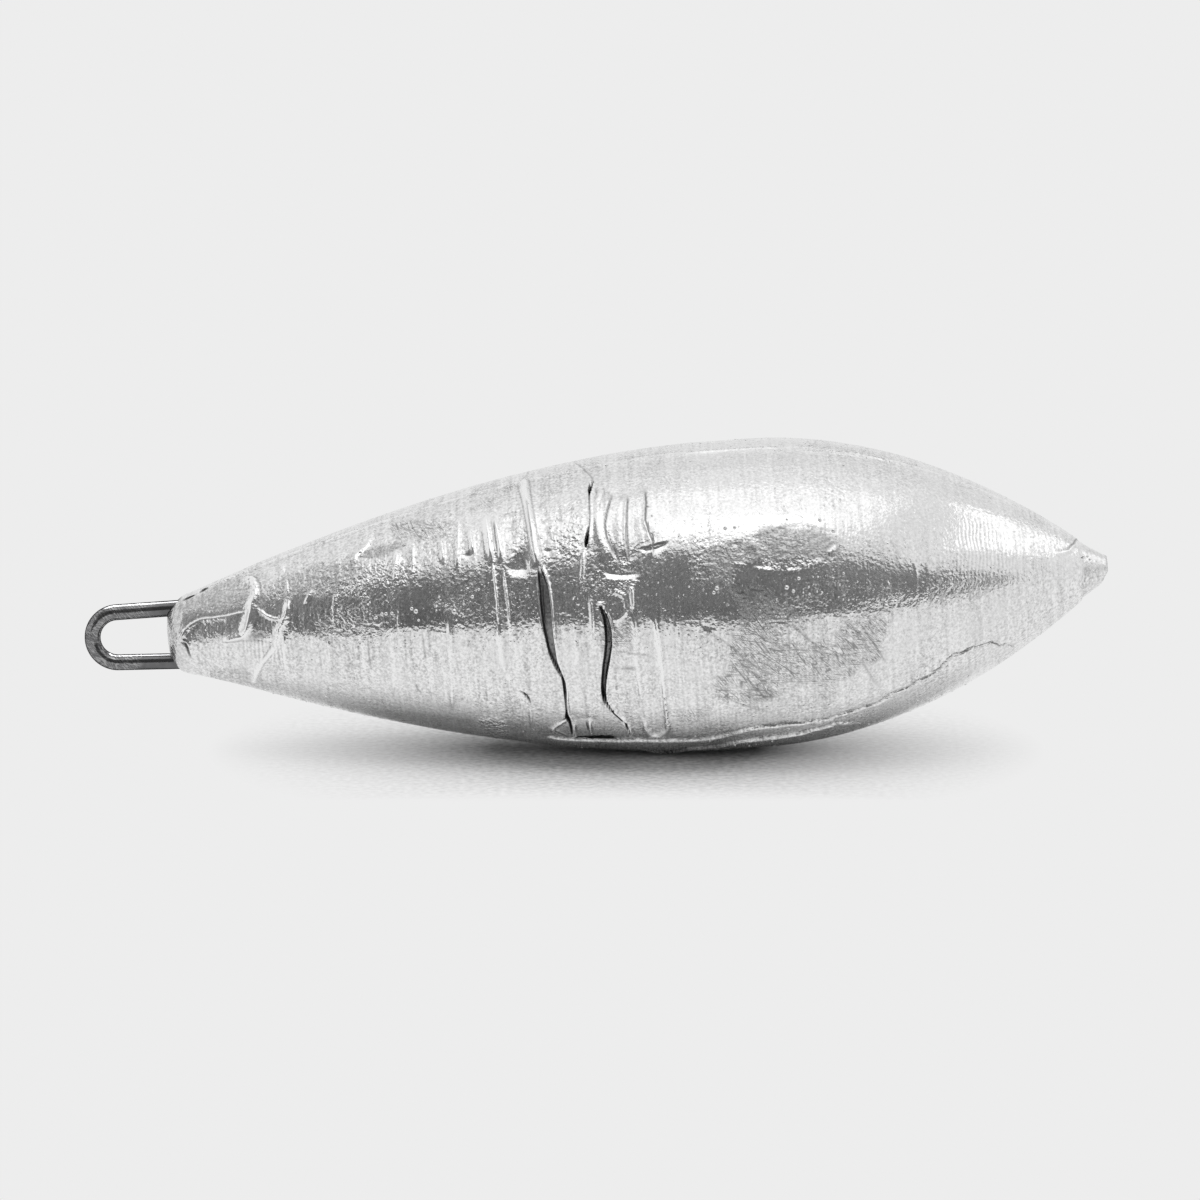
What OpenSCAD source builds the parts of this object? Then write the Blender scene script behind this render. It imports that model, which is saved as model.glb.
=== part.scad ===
// Cast lead fishing sinker with a steel wire line eye.
// The casting is drawn along its own axis, tail face at zero and nose on the plus side.
// The whole part is then laid down as it rests: on its belly, with the nose a little raised.

/* [Casting] */
// Length of the casting from its tail face to the tip of its nose
body_len = 93.7; // [85:0.1:130]
// Diameter of the belly, where the casting is fattest
belly_d = 30.8; // [24:0.1:40]
// Distance from the tail face to the start of the belly
belly_start = 53.5; // [48:0.5:60]
// Length of the straight stretch at the belly
belly_run = 5; // [1:0.5:10]
// Diameter at which the tail curve would meet the tail face
tail_d = 6.2; // [5.8:0.1:9]
// Diameter of the flat on the tail face
tail_flat_d = 3.6; // [2:0.1:4.5]
// Depth of the rounded edge round the tail face
tail_round = 1.8; // [0.5:0.1:3]
// How early the tail fills out: 1 is a plain cone, 2 is a parabola
tail_power = 1.71; // [1.4:0.02:2]
// How round the nose is: 2 is a parabola, more is blunter
nose_power = 2; // [1.6:0.05:2.6]

/* [Nose] */
// Diameter of the shoulder behind the tip
shoulder_d = 6.2; // [5:0.1:9]
// Width of the ledge round the shoulder
shoulder_step = 0.25; // [0.1:0.05:0.6]
// Length of the tip in front of the shoulder
tip_len = 2.7; // [1.5:0.1:5]
// Diameter of the end of the tip
tip_d = 2.4; // [1.5:0.1:4]
// Distance from the axis at which the cutter's slanted face leaves the end of the tip
nip_edge = 0.1; // [0:0.05:0.7]
// Slope of the cutter's face, measured from the plane across the tip
nip_angle = 28; // [10:1:50]

/* [Wire eye] */
// Diameter of the wire
wire_d = 1.6; // [1:0.1:2]
// Inside width of the eye at its round end
eye_gap = 3.5; // [2.6:0.1:4]
// How far the eye stands out of the tail face
eye_reach = 8.8; // [6:0.1:16]
// Length of wire leg inside the lead
leg_depth = 30; // [15:0.5:45]
// Angle by which the lower leg spreads away from the upper one
leg_spread = 2.8; // [0:0.1:3]
// Inside radius of the bend before each anchor
anchor_bend = 1.8; // [1:0.1:2.5]
// Straight length of each anchor past its bend
anchor_len = 2.5; // [1:0.1:3]
// Gap round each leg where the lead drew back from it
sink_gap = 0.25; // [0.1:0.05:0.4]
// Depth of that gap
sink_depth = 1.2; // [0.6:0.1:2]

/* [Casting marks] */
// Height of the ridge at the mould's parting line
seam_h = 0.45; // [0.25:0.05:0.6]
// Width of the ridge at the mould's parting line
seam_w = 0.5; // [0.3:0.05:1]
// Height of the lips where sheets of lead lapped over each other
lap_h = 0.45; // [0.25:0.05:0.6]
// Width of those lips
lap_w = 0.6; // [0.4:0.05:1]
// Distance of the long lap from the middle, towards the front
lap_offset = 9; // [7:0.1:10.5]
// Width of the cracks at the cold shuts
crack_w = 0.6; // [0.3:0.05:1.2]
// Depth of the cracks at the cold shuts
crack_depth = 1.2; // [0.5:0.1:2]
// How far the two ridges under the belly are pressed flat by the table
foot_press = 0.06; // [0.03:0.01:0.1]
// Height of the belly's lowest line above the table
belly_clear = 0.02; // [0.01:0.01:0.05]

/* [Hidden] */
$fn = 96;
overrun = 1;
// How deep a ridge that fades out ends under the skin
bury = 0.1;

shoulder = body_len - tip_len;
belly_end = belly_start + belly_run;
wire_r = wire_d / 2;
eye_r = eye_gap / 2 + wire_r;
eye_centre = -eye_reach + wire_r + eye_r;
anchor_r = anchor_bend + wire_r;

// Stations of the curve along the casting, close together at the rounded edge of the tail
corner_steps = 6;
curve_steps = 40;
corner_stations = [for (i = [0 : corner_steps - 1]) tail_round * (1 - cos(90 * i / corner_steps))];
curve_stations = [for (i = [0 : curve_steps]) tail_round + (shoulder - tail_round) * i / curve_steps];
stations = concat(corner_stations, curve_stations);

// Each crack: place along the tail as a share of belly_start, angle where it starts, angle it
// sweeps, and lean of its plane. Angles go round from the far side underneath, 180 is on top.
crack_places_shares = [
    [0.71, 189, 127, -4],
    [0.79, 200, 38, 3],
    [0.81, 257, 64, -2]
];
// Each ridge's start and end along the casting, as shares of body_len
seam_ends_shares = [0.06, 0.96];
long_lap_ends_shares = [0.41, 0.89];
foot_lap_ends_shares = [0.48, 0.61];
// The length over which a ridge fades out, as a share of its own length
fade_share = 0.15;

// Radius of the casting at a station, before the tail's edge is rounded
function curve_r(s) =
    s < belly_start ? tail_d / 2 + (belly_d - tail_d) / 2 * (1 - pow(1 - s / belly_start, tail_power)) :
    s < belly_end ? belly_d / 2 :
    shoulder_d / 2 + (belly_d - shoulder_d) / 2 *
        (1 - pow((s - belly_end) / (shoulder - belly_end), nose_power));
function corner_share(s) = s < tail_round ? sqrt(1 - pow(1 - s / tail_round, 2)) : 1;
function body_r(s) = tail_flat_d / 2 + (curve_r(s) - tail_flat_d / 2) * corner_share(s);
// Rise of the tail curve for each unit of length
function tail_slope(s) =
    (belly_d - tail_d) / 2 * tail_power / belly_start * pow(1 - s / belly_start, tail_power - 1);

// The casting balances where its centre of mass stands over the point that touches the table.
function sum(list, i = 0) = i < len(list) ? list[i] + sum(list, i + 1) : 0;
slices = [for (i = [0 : curve_steps - 1]) (curve_stations[i] + curve_stations[i + 1]) / 2];
mass_station = sum([for (s = slices) s * pow(body_r(s), 2)]) / sum([for (s = slices) pow(body_r(s), 2)]);
function touch_station(low, high, turns) =
    turns == 0 ? (low + high) / 2 :
    let (mid = (low + high) / 2)
    mid + body_r(mid) * tail_slope(mid) < mass_station ? touch_station(mid, high, turns - 1) :
        touch_station(low, mid, turns - 1);
touch = touch_station(belly_start / 2, belly_start, 30);
touch_r = body_r(touch);
rest_tilt = atan(tail_slope(touch));

// The casting rolls until two ridges bear on the table, one on each side of its lowest line: the
// lower half of the parting ridge behind, and the foot lap in front. Each bears at this angle.
table_r = touch_r + belly_clear;
function bearing_angle(height) = acos((table_r + foot_press) / (touch_r + height));
seam_angle = bearing_angle(seam_h);
foot_angle = bearing_angle(lap_h);

// The resting part is moved so that its box is centred and its lowest point is at zero.
eye_end_x = eye_centre * cos(rest_tilt) - eye_r - wire_r;
nose_end_x = body_len * cos(rest_tilt) + nip_edge * sin(rest_tilt);
centre_x = (eye_end_x + nose_end_x) / 2;
floor_z = touch * sin(rest_tilt) - table_r * cos(rest_tilt);

// Lays whatever is drawn along +X down in the resting pose.
module at_rest() {
    translate([-centre_x, 0, -floor_z])
    rotate([0, -rest_tilt, 0])
        children();
}

// Turns a shape drawn round +Z so that it lies round +X.
module along_x() {
    rotate([0, 90, 0])
        children();
}

// The plain turned shape of the casting, grown outwards by grow.
module blank(grow) {
    outline = [for (s = stations) [body_r(s) + grow, s]];
    tip_r = tip_d / 2;
    rotate_extrude()
    polygon(concat(
        [[0, 0]],
        outline,
        [[shoulder_d / 2 - shoulder_step, shoulder], [tip_r, body_len], [0, body_len]]
    ));
}

// One side of a thin upright ridge in the plane of the axis, fading out at both ends.
module fin(ends, height, width) {
    run = (ends[1] - ends[0]) * fade_share;
    inside = [for (s = curve_stations) if (s > ends[0] && s < ends[1]) s];
    outer = [for (s = concat([ends[0]], inside, [ends[1]]))
        let (share = min(1, (s - ends[0]) / run, (ends[1] - s) / run))
        [s, body_r(s) - bury + (height + bury) * share]];
    rotate([90, 0, 0])
    linear_extrude(height = width, center = true)
    polygon(concat([[ends[0], body_r(ends[0]) / 2]], outer, [[ends[1], body_r(ends[1]) / 2]]));
}

// Both halves of the ridge at the parting line, one near the top and one near the bottom. The
// parting plane leans towards the front at the top.
module seam() {
    for (side = [0, 180])
        rotate([side + seam_angle, 0, 0])
            fin(seam_ends_shares * body_len, seam_h, seam_w);
}

// The short lap in front of the lowest line, which keeps the sinker from rolling forwards.
module foot_lap() {
    rotate([180 - foot_angle, 0, 0])
        fin(foot_lap_ends_shares * body_len, lap_h, lap_w);
}

// The long lap low on the front: a lip in an upright plane in front of the axis.
module long_lap() {
    ends = long_lap_ends_shares * body_len;
    depth = belly_d / 2 + overrun;
    intersection() {
        along_x()
            blank(lap_h);
        translate([ends[0], -lap_offset - lap_w / 2, -depth])
            cube([ends[1] - ends[0], lap_w, depth]);
    }
}

// One crack: a narrow slot of even depth that follows the skin part of the way round.
module crack(station, from, sweep, lean) {
    outer_r = body_r(station) + overrun;
    translate([station, 0, 0])
    rotate([0, lean, 0])
    rotate([from, 0, 0])
    along_x()
    rotate_extrude(angle = sweep)
    translate([body_r(station) - crack_depth, -crack_w / 2])
        square([crack_depth + outer_r - body_r(station), crack_w]);
}

// The slanted face left by the cutter that nipped off the pouring stub, on the lower side.
module nip() {
    translate([body_len, 0, -nip_edge])
    rotate([0, nip_angle, 0])
    translate([0, -belly_d / 2, -belly_d])
        cube([belly_d, belly_d, belly_d]);
}

// One leg of the wire from the round end of the eye to the tip of its anchor, growing along +X
// and bending towards +Z.
module leg() {
    straight = leg_depth - eye_centre;
    along_x()
        cylinder(r = wire_r, h = straight);
    translate([straight, 0, anchor_r])
    rotate([90, 0, 0])
    rotate([0, 0, -90])
    rotate_extrude(angle = 90)
    translate([anchor_r, 0])
        circle(r = wire_r);
    translate([straight + anchor_r, 0, anchor_r])
        cylinder(r = wire_r, h = anchor_len);
}

// The whole wire, drawn along the axis of the casting. The cavity in the lead is the same shape.
module wire() {
    translate([eye_centre, 0, 0]) {
        rotate([90, 0, 0])
        rotate([0, 0, 90])
        rotate_extrude(angle = 180 - leg_spread)
        translate([eye_r, 0])
            circle(r = wire_r);
        translate([0, 0, eye_r])
            leg();
        rotate([0, leg_spread, 0])
        translate([0, 0, -eye_r])
        mirror([0, 0, 1])
            leg();
    }
}

// Everything below the table, which presses flats on the ridges that bear on it.
module below_table() {
    translate([-body_len, -belly_d, -belly_d])
        cube([body_len * 2, belly_d * 2, belly_d]);
}

// The shallow gap round a leg where it enters the tail.
module sink() {
    translate([-overrun - eye_centre, 0, 0])
    along_x()
        cylinder(r = wire_r + sink_gap, h = sink_depth + overrun);
}

module sinks() {
    translate([eye_centre, 0, 0]) {
        translate([0, 0, eye_r])
            sink();
        rotate([0, leg_spread, 0])
        translate([0, 0, -eye_r])
            sink();
    }
}

module lead_body() {
    color("silver")
    difference() {
        at_rest()
        difference() {
            union() {
                along_x()
                    blank(0);
                seam();
                foot_lap();
                long_lap();
            }
            for (place = crack_places_shares)
                crack(place[0] * belly_start, place[1], place[2], place[3]);
            nip();
            wire();
            sinks();
        }
        below_table();
    }
}

module wire_eye() {
    color("dimgray")
    at_rest()
        wire();
}

lead_body();
wire_eye();
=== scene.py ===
import math

import bmesh
import bpy
import numpy as np
from bpy.props import FloatProperty, FloatVectorProperty, IntProperty, PointerProperty
from mathutils import Matrix, Vector


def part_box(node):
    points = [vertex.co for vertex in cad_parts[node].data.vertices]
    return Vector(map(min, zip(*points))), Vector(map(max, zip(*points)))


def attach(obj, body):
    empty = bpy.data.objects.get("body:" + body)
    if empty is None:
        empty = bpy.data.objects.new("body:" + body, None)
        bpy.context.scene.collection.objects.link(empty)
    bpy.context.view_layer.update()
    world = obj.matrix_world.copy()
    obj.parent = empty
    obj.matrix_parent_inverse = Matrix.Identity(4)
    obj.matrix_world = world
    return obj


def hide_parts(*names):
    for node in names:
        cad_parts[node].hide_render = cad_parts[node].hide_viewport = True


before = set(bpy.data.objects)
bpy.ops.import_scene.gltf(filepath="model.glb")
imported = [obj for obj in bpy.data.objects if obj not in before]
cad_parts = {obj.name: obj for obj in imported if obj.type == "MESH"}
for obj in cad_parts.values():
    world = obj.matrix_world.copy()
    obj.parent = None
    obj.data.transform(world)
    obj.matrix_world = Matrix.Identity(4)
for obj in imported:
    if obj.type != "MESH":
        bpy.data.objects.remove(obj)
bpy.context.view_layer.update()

bl_info = {
    "name": "Fishing Sinker",
    "version": (1, 0, 0),
    "blender": (4, 5, 0),
    "location": "View3D > Sidebar > Sinker",
    "description": "Builds a cast lead fishing sinker with a wire eye, on a table in soft light",
    "category": "Add Mesh",
}

MM = 0.001
CASTING_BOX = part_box("lead_body")
WIRE_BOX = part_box("wire_eye")

# The photograph's frame, and where the casting's axis starts and ends in it, in pixels
PHOTO_SIZE = 1200.0
TAIL_PIXEL = (172.0, 633.5)
NOSE_PIXEL = (1107.0, 566.5)

# Lines of the casting's skin, in pixels of the photograph. Where a point of a crack has a third
# number, that is the crack's width there, in pixels too.
# The long crack nearer the tail
CRACK_LEFT = [
    (541, 568, 3), (543, 576, 6), (545.5, 588, 8.5), (547, 602, 9.5), (548.5, 616, 9),
    (550, 630, 8), (552, 642, 7), (554, 652, 6.5), (556.5, 661, 4), (560, 668.5, 3), (563.5, 675, 1.6),
    (565.5, 681, 2.4), (566.5, 690, 2.4), (567, 700, 1.4), (568, 712, 1.2), (569, 718, 5),
    (571.5, 724, 2), (574, 736, 1.6),
]
# The long crack nearer the nose: above its bridge, and below it
CRACK_RIGHT_TOP = [
    (594.5, 480, 0.6), (592, 484, 3), (590.8, 488, 3.4), (590.3, 493, 1), (590.5, 504, 0.6), (591, 514, 0.5),
    (591, 522, 0.6), (589.8, 530, 1.2), (588.6, 537, 2.8), (587.8, 542, 3), (587, 547, 0.6),
]
CRACK_RIGHT = [
    (601, 605, 1), (604, 610, 3), (608, 619, 5), (610, 630, 6), (610.5, 643, 6), (609, 656, 5.5),
    (607, 668, 5), (605.5, 680, 4), (605, 690, 4), (606.5, 701, 3), (613, 710.5, 1.6),
    (620, 717, 1.8), (627, 723, 1.8), (630.5, 731, 1.4),
]
# The gap under the plate of lead between the two
BOTTOM_GAP = [
    (568, 736.5, 4), (578, 736.8, 3), (585, 737, 7), (592, 737, 9), (604, 737, 9), (612, 736.8, 8),
    (617, 736.5, 4),
]
# Short cracks at the tip and the tail face, beside the long ones, and round the plate
CRACKS_SMALL = [
    [(1078.5, 537, 0.7), (1074, 542, 0.9), (1068, 548, 0.8), (1057, 551, 0.5)],
    [(185.5, 641, 1), (189, 643, 1.4), (191, 647, 1.5), (192.5, 652, 1.3), (194, 656, 1)],
    [(521, 690.5, 1), (526, 693, 1.8), (529.5, 697, 2), (531.5, 702, 1)],
    [(184, 601.5, 1), (190, 598, 2), (197, 594.5, 1.2)], [(199, 593.5, 1), (204, 590.5, 1.8), (209, 588, 1)],
    [(552, 728.5, 1), (559, 732, 2.4), (568, 736, 2.6), (574, 737, 2)],
    [(587.5, 722, 1), (589.5, 728, 1.6), (591.5, 734, 1.2)],
]
# Narrow gaps at the feet of the folds, darkened with painted shade
FOLD_GAPS = [
    [(609, 532, 0.6), (612.5, 543, 1.4), (616.5, 551, 2), (619, 557, 1)],
    [(627.5, 505, 0.6), (627, 522, 1), (628, 540, 1.5), (629, 556, 0.8)],
    [(648, 520, 1), (649.5, 524, 1.4), (650, 528, 0.8)], [(651, 532, 1), (654, 537, 1.5), (656, 542, 0.8)],
    [(638, 549, 0.6), (650, 547, 1.4), (660, 543.5, 2), (669, 541.5, 0.8)],
]
# Ridges: each one's height as a share of three quarters of the fold height, how far it slopes
# before and after its crest in millimetres, and its line
RIDGES = [
    (2.3, 0.48, 0.34, [(243, 577.5), (250, 578), (255, 582), (257.5, 588), (257, 595), (254, 603),
                       (252.5, 612), (250, 622), (247.5, 631), (243.5, 636.5), (236, 638), (228, 640),
                       (221, 645)]),
    (0.5, 0.12, 0.12, [(254, 577.5), (259, 582), (261.5, 590), (260, 598), (257, 606)]),
    (0.7, 0.16, 0.16, [(256, 608), (262, 612), (268, 616.5), (276, 619), (284, 618.5)]),
    (1.7, 0.32, 0.24, [(290, 598), (289, 606), (288, 614), (284, 623), (280, 630), (279, 638),
                       (277, 647), (270, 655), (263, 663), (258, 673), (254, 683)]),
    (0.9, 0.14, 0.34, [(250, 612), (240, 613.5), (228, 616.5), (214, 618.5), (202, 619.5), (194, 624),
                       (188, 630), (184.5, 637), (183, 643)]),
    (0.5, 0.14, 0.14, [(189, 655), (196, 661), (205, 668.5), (214, 675.5), (222, 680.5)]),
    (0.7, 0.22, 0.16, [(375, 527), (373, 536), (368, 545), (361, 552)]),
    (1.2, 0.28, 0.16, [(366, 547), (358, 555), (353, 563)]),
    (1.8, 0.30, 0.14, [(396.5, 547), (399, 556), (397.5, 566), (396, 581)]),
    (0.4, 0.12, 0.12, [(401, 588), (401.5, 600), (400, 618), (399, 634)]),
    (0.8, 0.14, 0.14, [(284, 563), (284, 573)]),
    (0.4, 0.12, 0.12, [(287, 577), (289, 593)]),
    (0.9, 0.16, 0.14, [(313, 590), (308, 600), (305, 605)]),
    (0.4, 0.14, 0.14, [(336, 588), (335, 604), (335.5, 630)]),
    (0.4, 0.26, 0.16, [(413.5, 541), (414, 556), (413, 576)]),
    (1.6, 0.26, 0.14, [(441.5, 534), (444, 548), (445, 564)]),
    (1.4, 0.26, 0.14, [(460.5, 515), (460, 545), (458.5, 569)]),
    (1.4, 0.26, 0.14, [(471, 528), (473.5, 543), (475, 553)]),
    (1.7, 0.42, 0.20, [(486.5, 513), (489.5, 530), (492, 548), (494.5, 564)]),
    (1.9, 0.34, 0.20, [(495.5, 516), (499, 530), (502, 546), (503.5, 562)]),
    (0.8, 0.12, 0.10, [(494, 562), (496.5, 580), (499, 600), (501, 627)]),
    (1.0, 0.12, 0.10, [(505, 572), (507.5, 588), (510, 606), (512, 629)]),
    (2.4, 0.40, 0.30, [(524.5, 479), (526, 490), (529.5, 508), (533, 526), (535, 543), (538, 556),
                       (540, 566)]),
    (1.0, 0.45, 0.45, [(603, 488), (599, 503), (598.5, 520), (601, 537), (608, 551), (611, 566)]),
    (0.25, 0.50, 0.30, [(622, 494), (620, 512), (620, 530), (623, 545), (625, 563)]),
    (0.25, 0.50, 0.30, [(640, 492), (639, 508), (640, 522), (644, 537), (646, 556)]),
    (1.2, 0.26, 0.16, [(587, 547), (585.5, 557), (585, 568), (584, 580), (589, 587)]),
    (0.9, 0.20, 0.20, [(611, 592), (618, 591), (625, 595), (628.5, 603), (627.5, 612), (621, 619),
                       (613, 619)]),
    (0.9, 0.16, 0.16, [(597, 603), (603, 603), (609, 601)]),
    (0.9, 0.24, 0.20, [(285, 634), (285.5, 673)]),
    (0.7, 0.16, 0.16, [(330, 640), (331, 664)]),
    (0.8, 0.16, 0.16, [(395, 658), (394, 692)]),
    (0.6, 0.16, 0.16, [(432, 645), (433, 668), (433, 700)]),
    (1.2, 0.26, 0.20, [(451, 616), (452, 645), (453, 672), (453.5, 708)]),
    (0.5, 0.14, 0.14, [(470, 640), (471, 664)]),
    (0.5, 0.14, 0.14, [(484, 638), (485, 664), (486, 690)]),
    (1.2, 0.24, 0.18, [(500.5, 622), (501, 640), (503, 658), (509, 676), (519, 688)]),
    (0.5, 0.14, 0.14, [(521, 640), (524, 664)]),
    (1.0, 0.22, 0.18, [(531.5, 704), (533, 726)]),
    (0.9, 0.22, 0.18, [(579, 640), (577, 670)]),
    (1.2, 0.22, 0.18, [(592, 592), (594, 618), (595, 652)]),
    (1.4, 0.22, 0.18, [(630, 582), (634, 590), (634.5, 611)]),
    (1.5, 0.26, 0.20, [(635, 612), (637, 630), (638, 660), (641, 680), (644, 702)]),
    (1.6, 0.28, 0.20, [(655, 612), (660, 640), (664, 670), (667, 700), (669, 727)]),
    (0.6, 0.14, 0.14, [(680, 630), (684, 668), (688, 700)]),
    (0.5, 0.4, 0.4, [(600, 467), (640, 460.5), (680, 455), (720, 452), (760, 450.5), (800, 450.5),
                     (840, 453), (880, 459)]),
    (0.2, 0.12, 0.12, [(915, 557), (918, 572), (918, 590)]),
    (0.2, 0.12, 0.12, [(928, 560), (930, 575)]),
    (0.45, 0.18, 0.18, [(733, 562), (743, 564), (750, 565)]),
    (0.5, 0.2, 0.2, [(756, 567), (766, 569), (777, 570)]),
    (0.5, 0.2, 0.2, [(785, 571), (794, 570), (803, 568)]),
    (0.45, 0.2, 0.2, [(809, 566), (817, 562), (824, 558)]),
    (0.4, 0.2, 0.2, [(829, 554), (835, 549), (839, 544)]),
    (1.8, 0.2, 0.2, [(550, 731), (556, 726), (563, 722), (568, 720)]),
    (1.8, 0.16, 0.16, [(573, 718), (576, 724), (576, 731), (574, 737)]),
    (1.8, 0.16, 0.16, [(590, 718), (592, 726), (591, 734)]),
    (1.8, 0.18, 0.18, [(630, 722), (633, 729), (631, 736)]),
    (1.5, 0.30, 0.30, [(645, 716), (647, 727), (652, 734), (661, 735), (668, 729), (670, 718)]),
]
# Edges where a sheet of lead ends over another: height as a share of the fold height, how far the
# sheet sinks back in millimetres, and the edge's line
LAP_EDGES = [
    (1.3, 0.9, [(614, 492), (609, 508), (606, 524), (608, 538), (613, 549), (618, 557)]),
    (1.2, 0.8, [(629, 494), (628, 510), (628, 528), (629, 547), (630, 562)]),
    (1.3, 0.9, [(646, 488), (647, 503), (646.5, 520), (650, 531), (654, 541), (655, 556)]),
    (0.6, 1.2, [(541, 567), (539, 580), (539.5, 592), (541.5, 606), (544, 624), (547, 640)]),
    (0.7, 0.7, [(494.5, 520), (496, 538), (498.5, 556)]),
]
# Scoops that are dark above their lower edge and bright under it, where the bar's colour is lightened as a
# painted highlight: how far each reaches up and how deep it is in millimetres, and its lower edge
NOTCHES = [
    (1.9, 0.34, [(508, 566.5), (513, 568.5), (519, 569.5), (526, 569), (534, 567)]),
    (0.5, 0.16, [(462, 554), (468, 556), (477, 553.5)]),
    (0.7, 0.22, [(603, 571), (612, 573.5), (624, 574.5), (636, 573.5), (644, 572)]),
    (0.22, 0.16, [(640, 549.5), (648, 550), (658, 548), (671, 542.5)]),
    (0.4, 0.1, [(702, 622), (706, 626), (712, 628), (718, 624)]),
    (1.1, 0.14, [(504, 524), (511, 526), (520, 525)]),
    (0.8, 0.12, [(505, 536), (512, 538), (522, 536)]),
    (0.7, 0.12, [(541, 513), (546, 515), (551, 512)]),
    (0.7, 0.12, [(542, 533), (547, 535), (553, 532)]),
    (0.6, 0.12, [(543, 550), (549, 552), (556, 549)]),
]
# Fine lines darkened with painted shade: flow lines between the folds, edges of thin skins, and scratches on
# the belly
HAIRLINES = [
    [(564, 511.5), (571, 510), (580, 508)], [(537, 509), (541, 505), (547, 504)],
    [(541, 519), (545, 522), (546, 526)], [(508, 516), (514, 512), (522, 512)],
    [(505, 524), (512, 521), (520, 522)], [(508, 531), (514, 529), (521, 530)],
    [(556, 516), (561, 520), (566, 519)], [(551, 531), (558, 534), (566, 532)],
    [(249, 575), (257, 578), (261.5, 586), (262, 596), (259, 604)],
    [(241, 633), (246, 628), (248, 618), (250, 608)],
    [(220, 641.5), (230, 642), (240, 641), (247, 637)], [(262, 660), (269, 650), (274, 642)],
    [(518, 486), (522, 498), (526, 516), (529.5, 536), (533, 552), (537, 564)],
    [(529, 478), (532, 496), (536, 518), (540, 540), (543, 558)],
    [(595, 481), (590, 474), (583, 468), (575, 462)], [(521, 480), (526, 475), (532, 473)],
    [(596, 486), (598, 494), (595, 503)], [(604, 486), (606, 493), (602, 503), (601, 512)],
    [(503, 519), (506, 514), (512, 512), (518, 513)], [(503, 530), (508, 527), (515, 527), (521, 529)],
    [(540, 508), (543, 503), (548, 502)], [(541, 524), (546, 520), (550, 521)],
    [(543, 546), (547, 542), (552, 543)], [(368.5, 634), (370, 650), (372, 671)],
    [(423, 629), (425, 644), (427, 661)], [(416, 681), (418, 688), (424, 696)],
    [(568, 714.5), (578, 713.5), (590, 714)], [(615, 655), (622, 651.5), (640, 653), (654, 656)],
    [(614, 669), (622, 667), (641, 668)], [(612, 638), (620, 635), (632, 636)],
    [(401, 592), (402, 622)], [(538, 556), (534.5, 540), (531, 520), (528, 500)],
    [(712, 631), (728, 642), (745, 657), (765, 671)], [(736, 656), (752, 670), (772, 684)],
    [(718, 694), (738, 702), (770, 712)], [(741, 672), (756, 686), (770, 700)],
    [(829, 632), (845, 634.5), (862, 635)], [(826, 643), (842, 646), (860, 645)],
    [(824, 652), (842, 654.5), (858, 653)], [(857, 616), (874, 640), (888, 663)],
    [(852, 622), (866, 642), (874, 652)], [(861, 656), (869, 670), (878, 684)],
    [(689, 625), (694, 634)], [(724, 575), (741, 590)], [(792, 622), (812, 640), (826, 650)],
    [(760, 632), (780, 645), (790, 655)], [(790, 690), (806, 680), (822, 677)],
    [(726, 543), (746, 541), (766, 533), (786, 526), (806, 524), (826, 529), (836, 531)],
]
# The edges of the two sheets that lapped over each other low on the front
LONG_LAP = [
    (541, 736), (556, 737.5), (574, 738.7), (590, 740), (614, 740.3), (640, 739.5), (671.6, 740),
    (700, 739), (720, 735.6), (756, 726.5), (782.6, 724.5), (830.7, 717), (868.9, 706.6),
    (899.8, 690.6), (928, 677), (943, 665.5), (954.5, 655.6), (972.8, 646), (991, 642.5),
    (1000, 646), (1009, 645), (1019, 644),
]
LOW_LAP = [
    (640, 748), (652, 749.5), (666, 750.3), (688, 747), (714.6, 744), (739.5, 739), (777.6, 734.6),
    (799, 731.5), (814, 727.3), (838, 721.5), (864, 720.5),
]
# Upper edge of the plate of lead between the long cracks
PLATE_EDGE = [(551, 727), (557, 725), (563, 720.5), (569, 718), (577, 717), (590, 716.5), (604, 716)]
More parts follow.
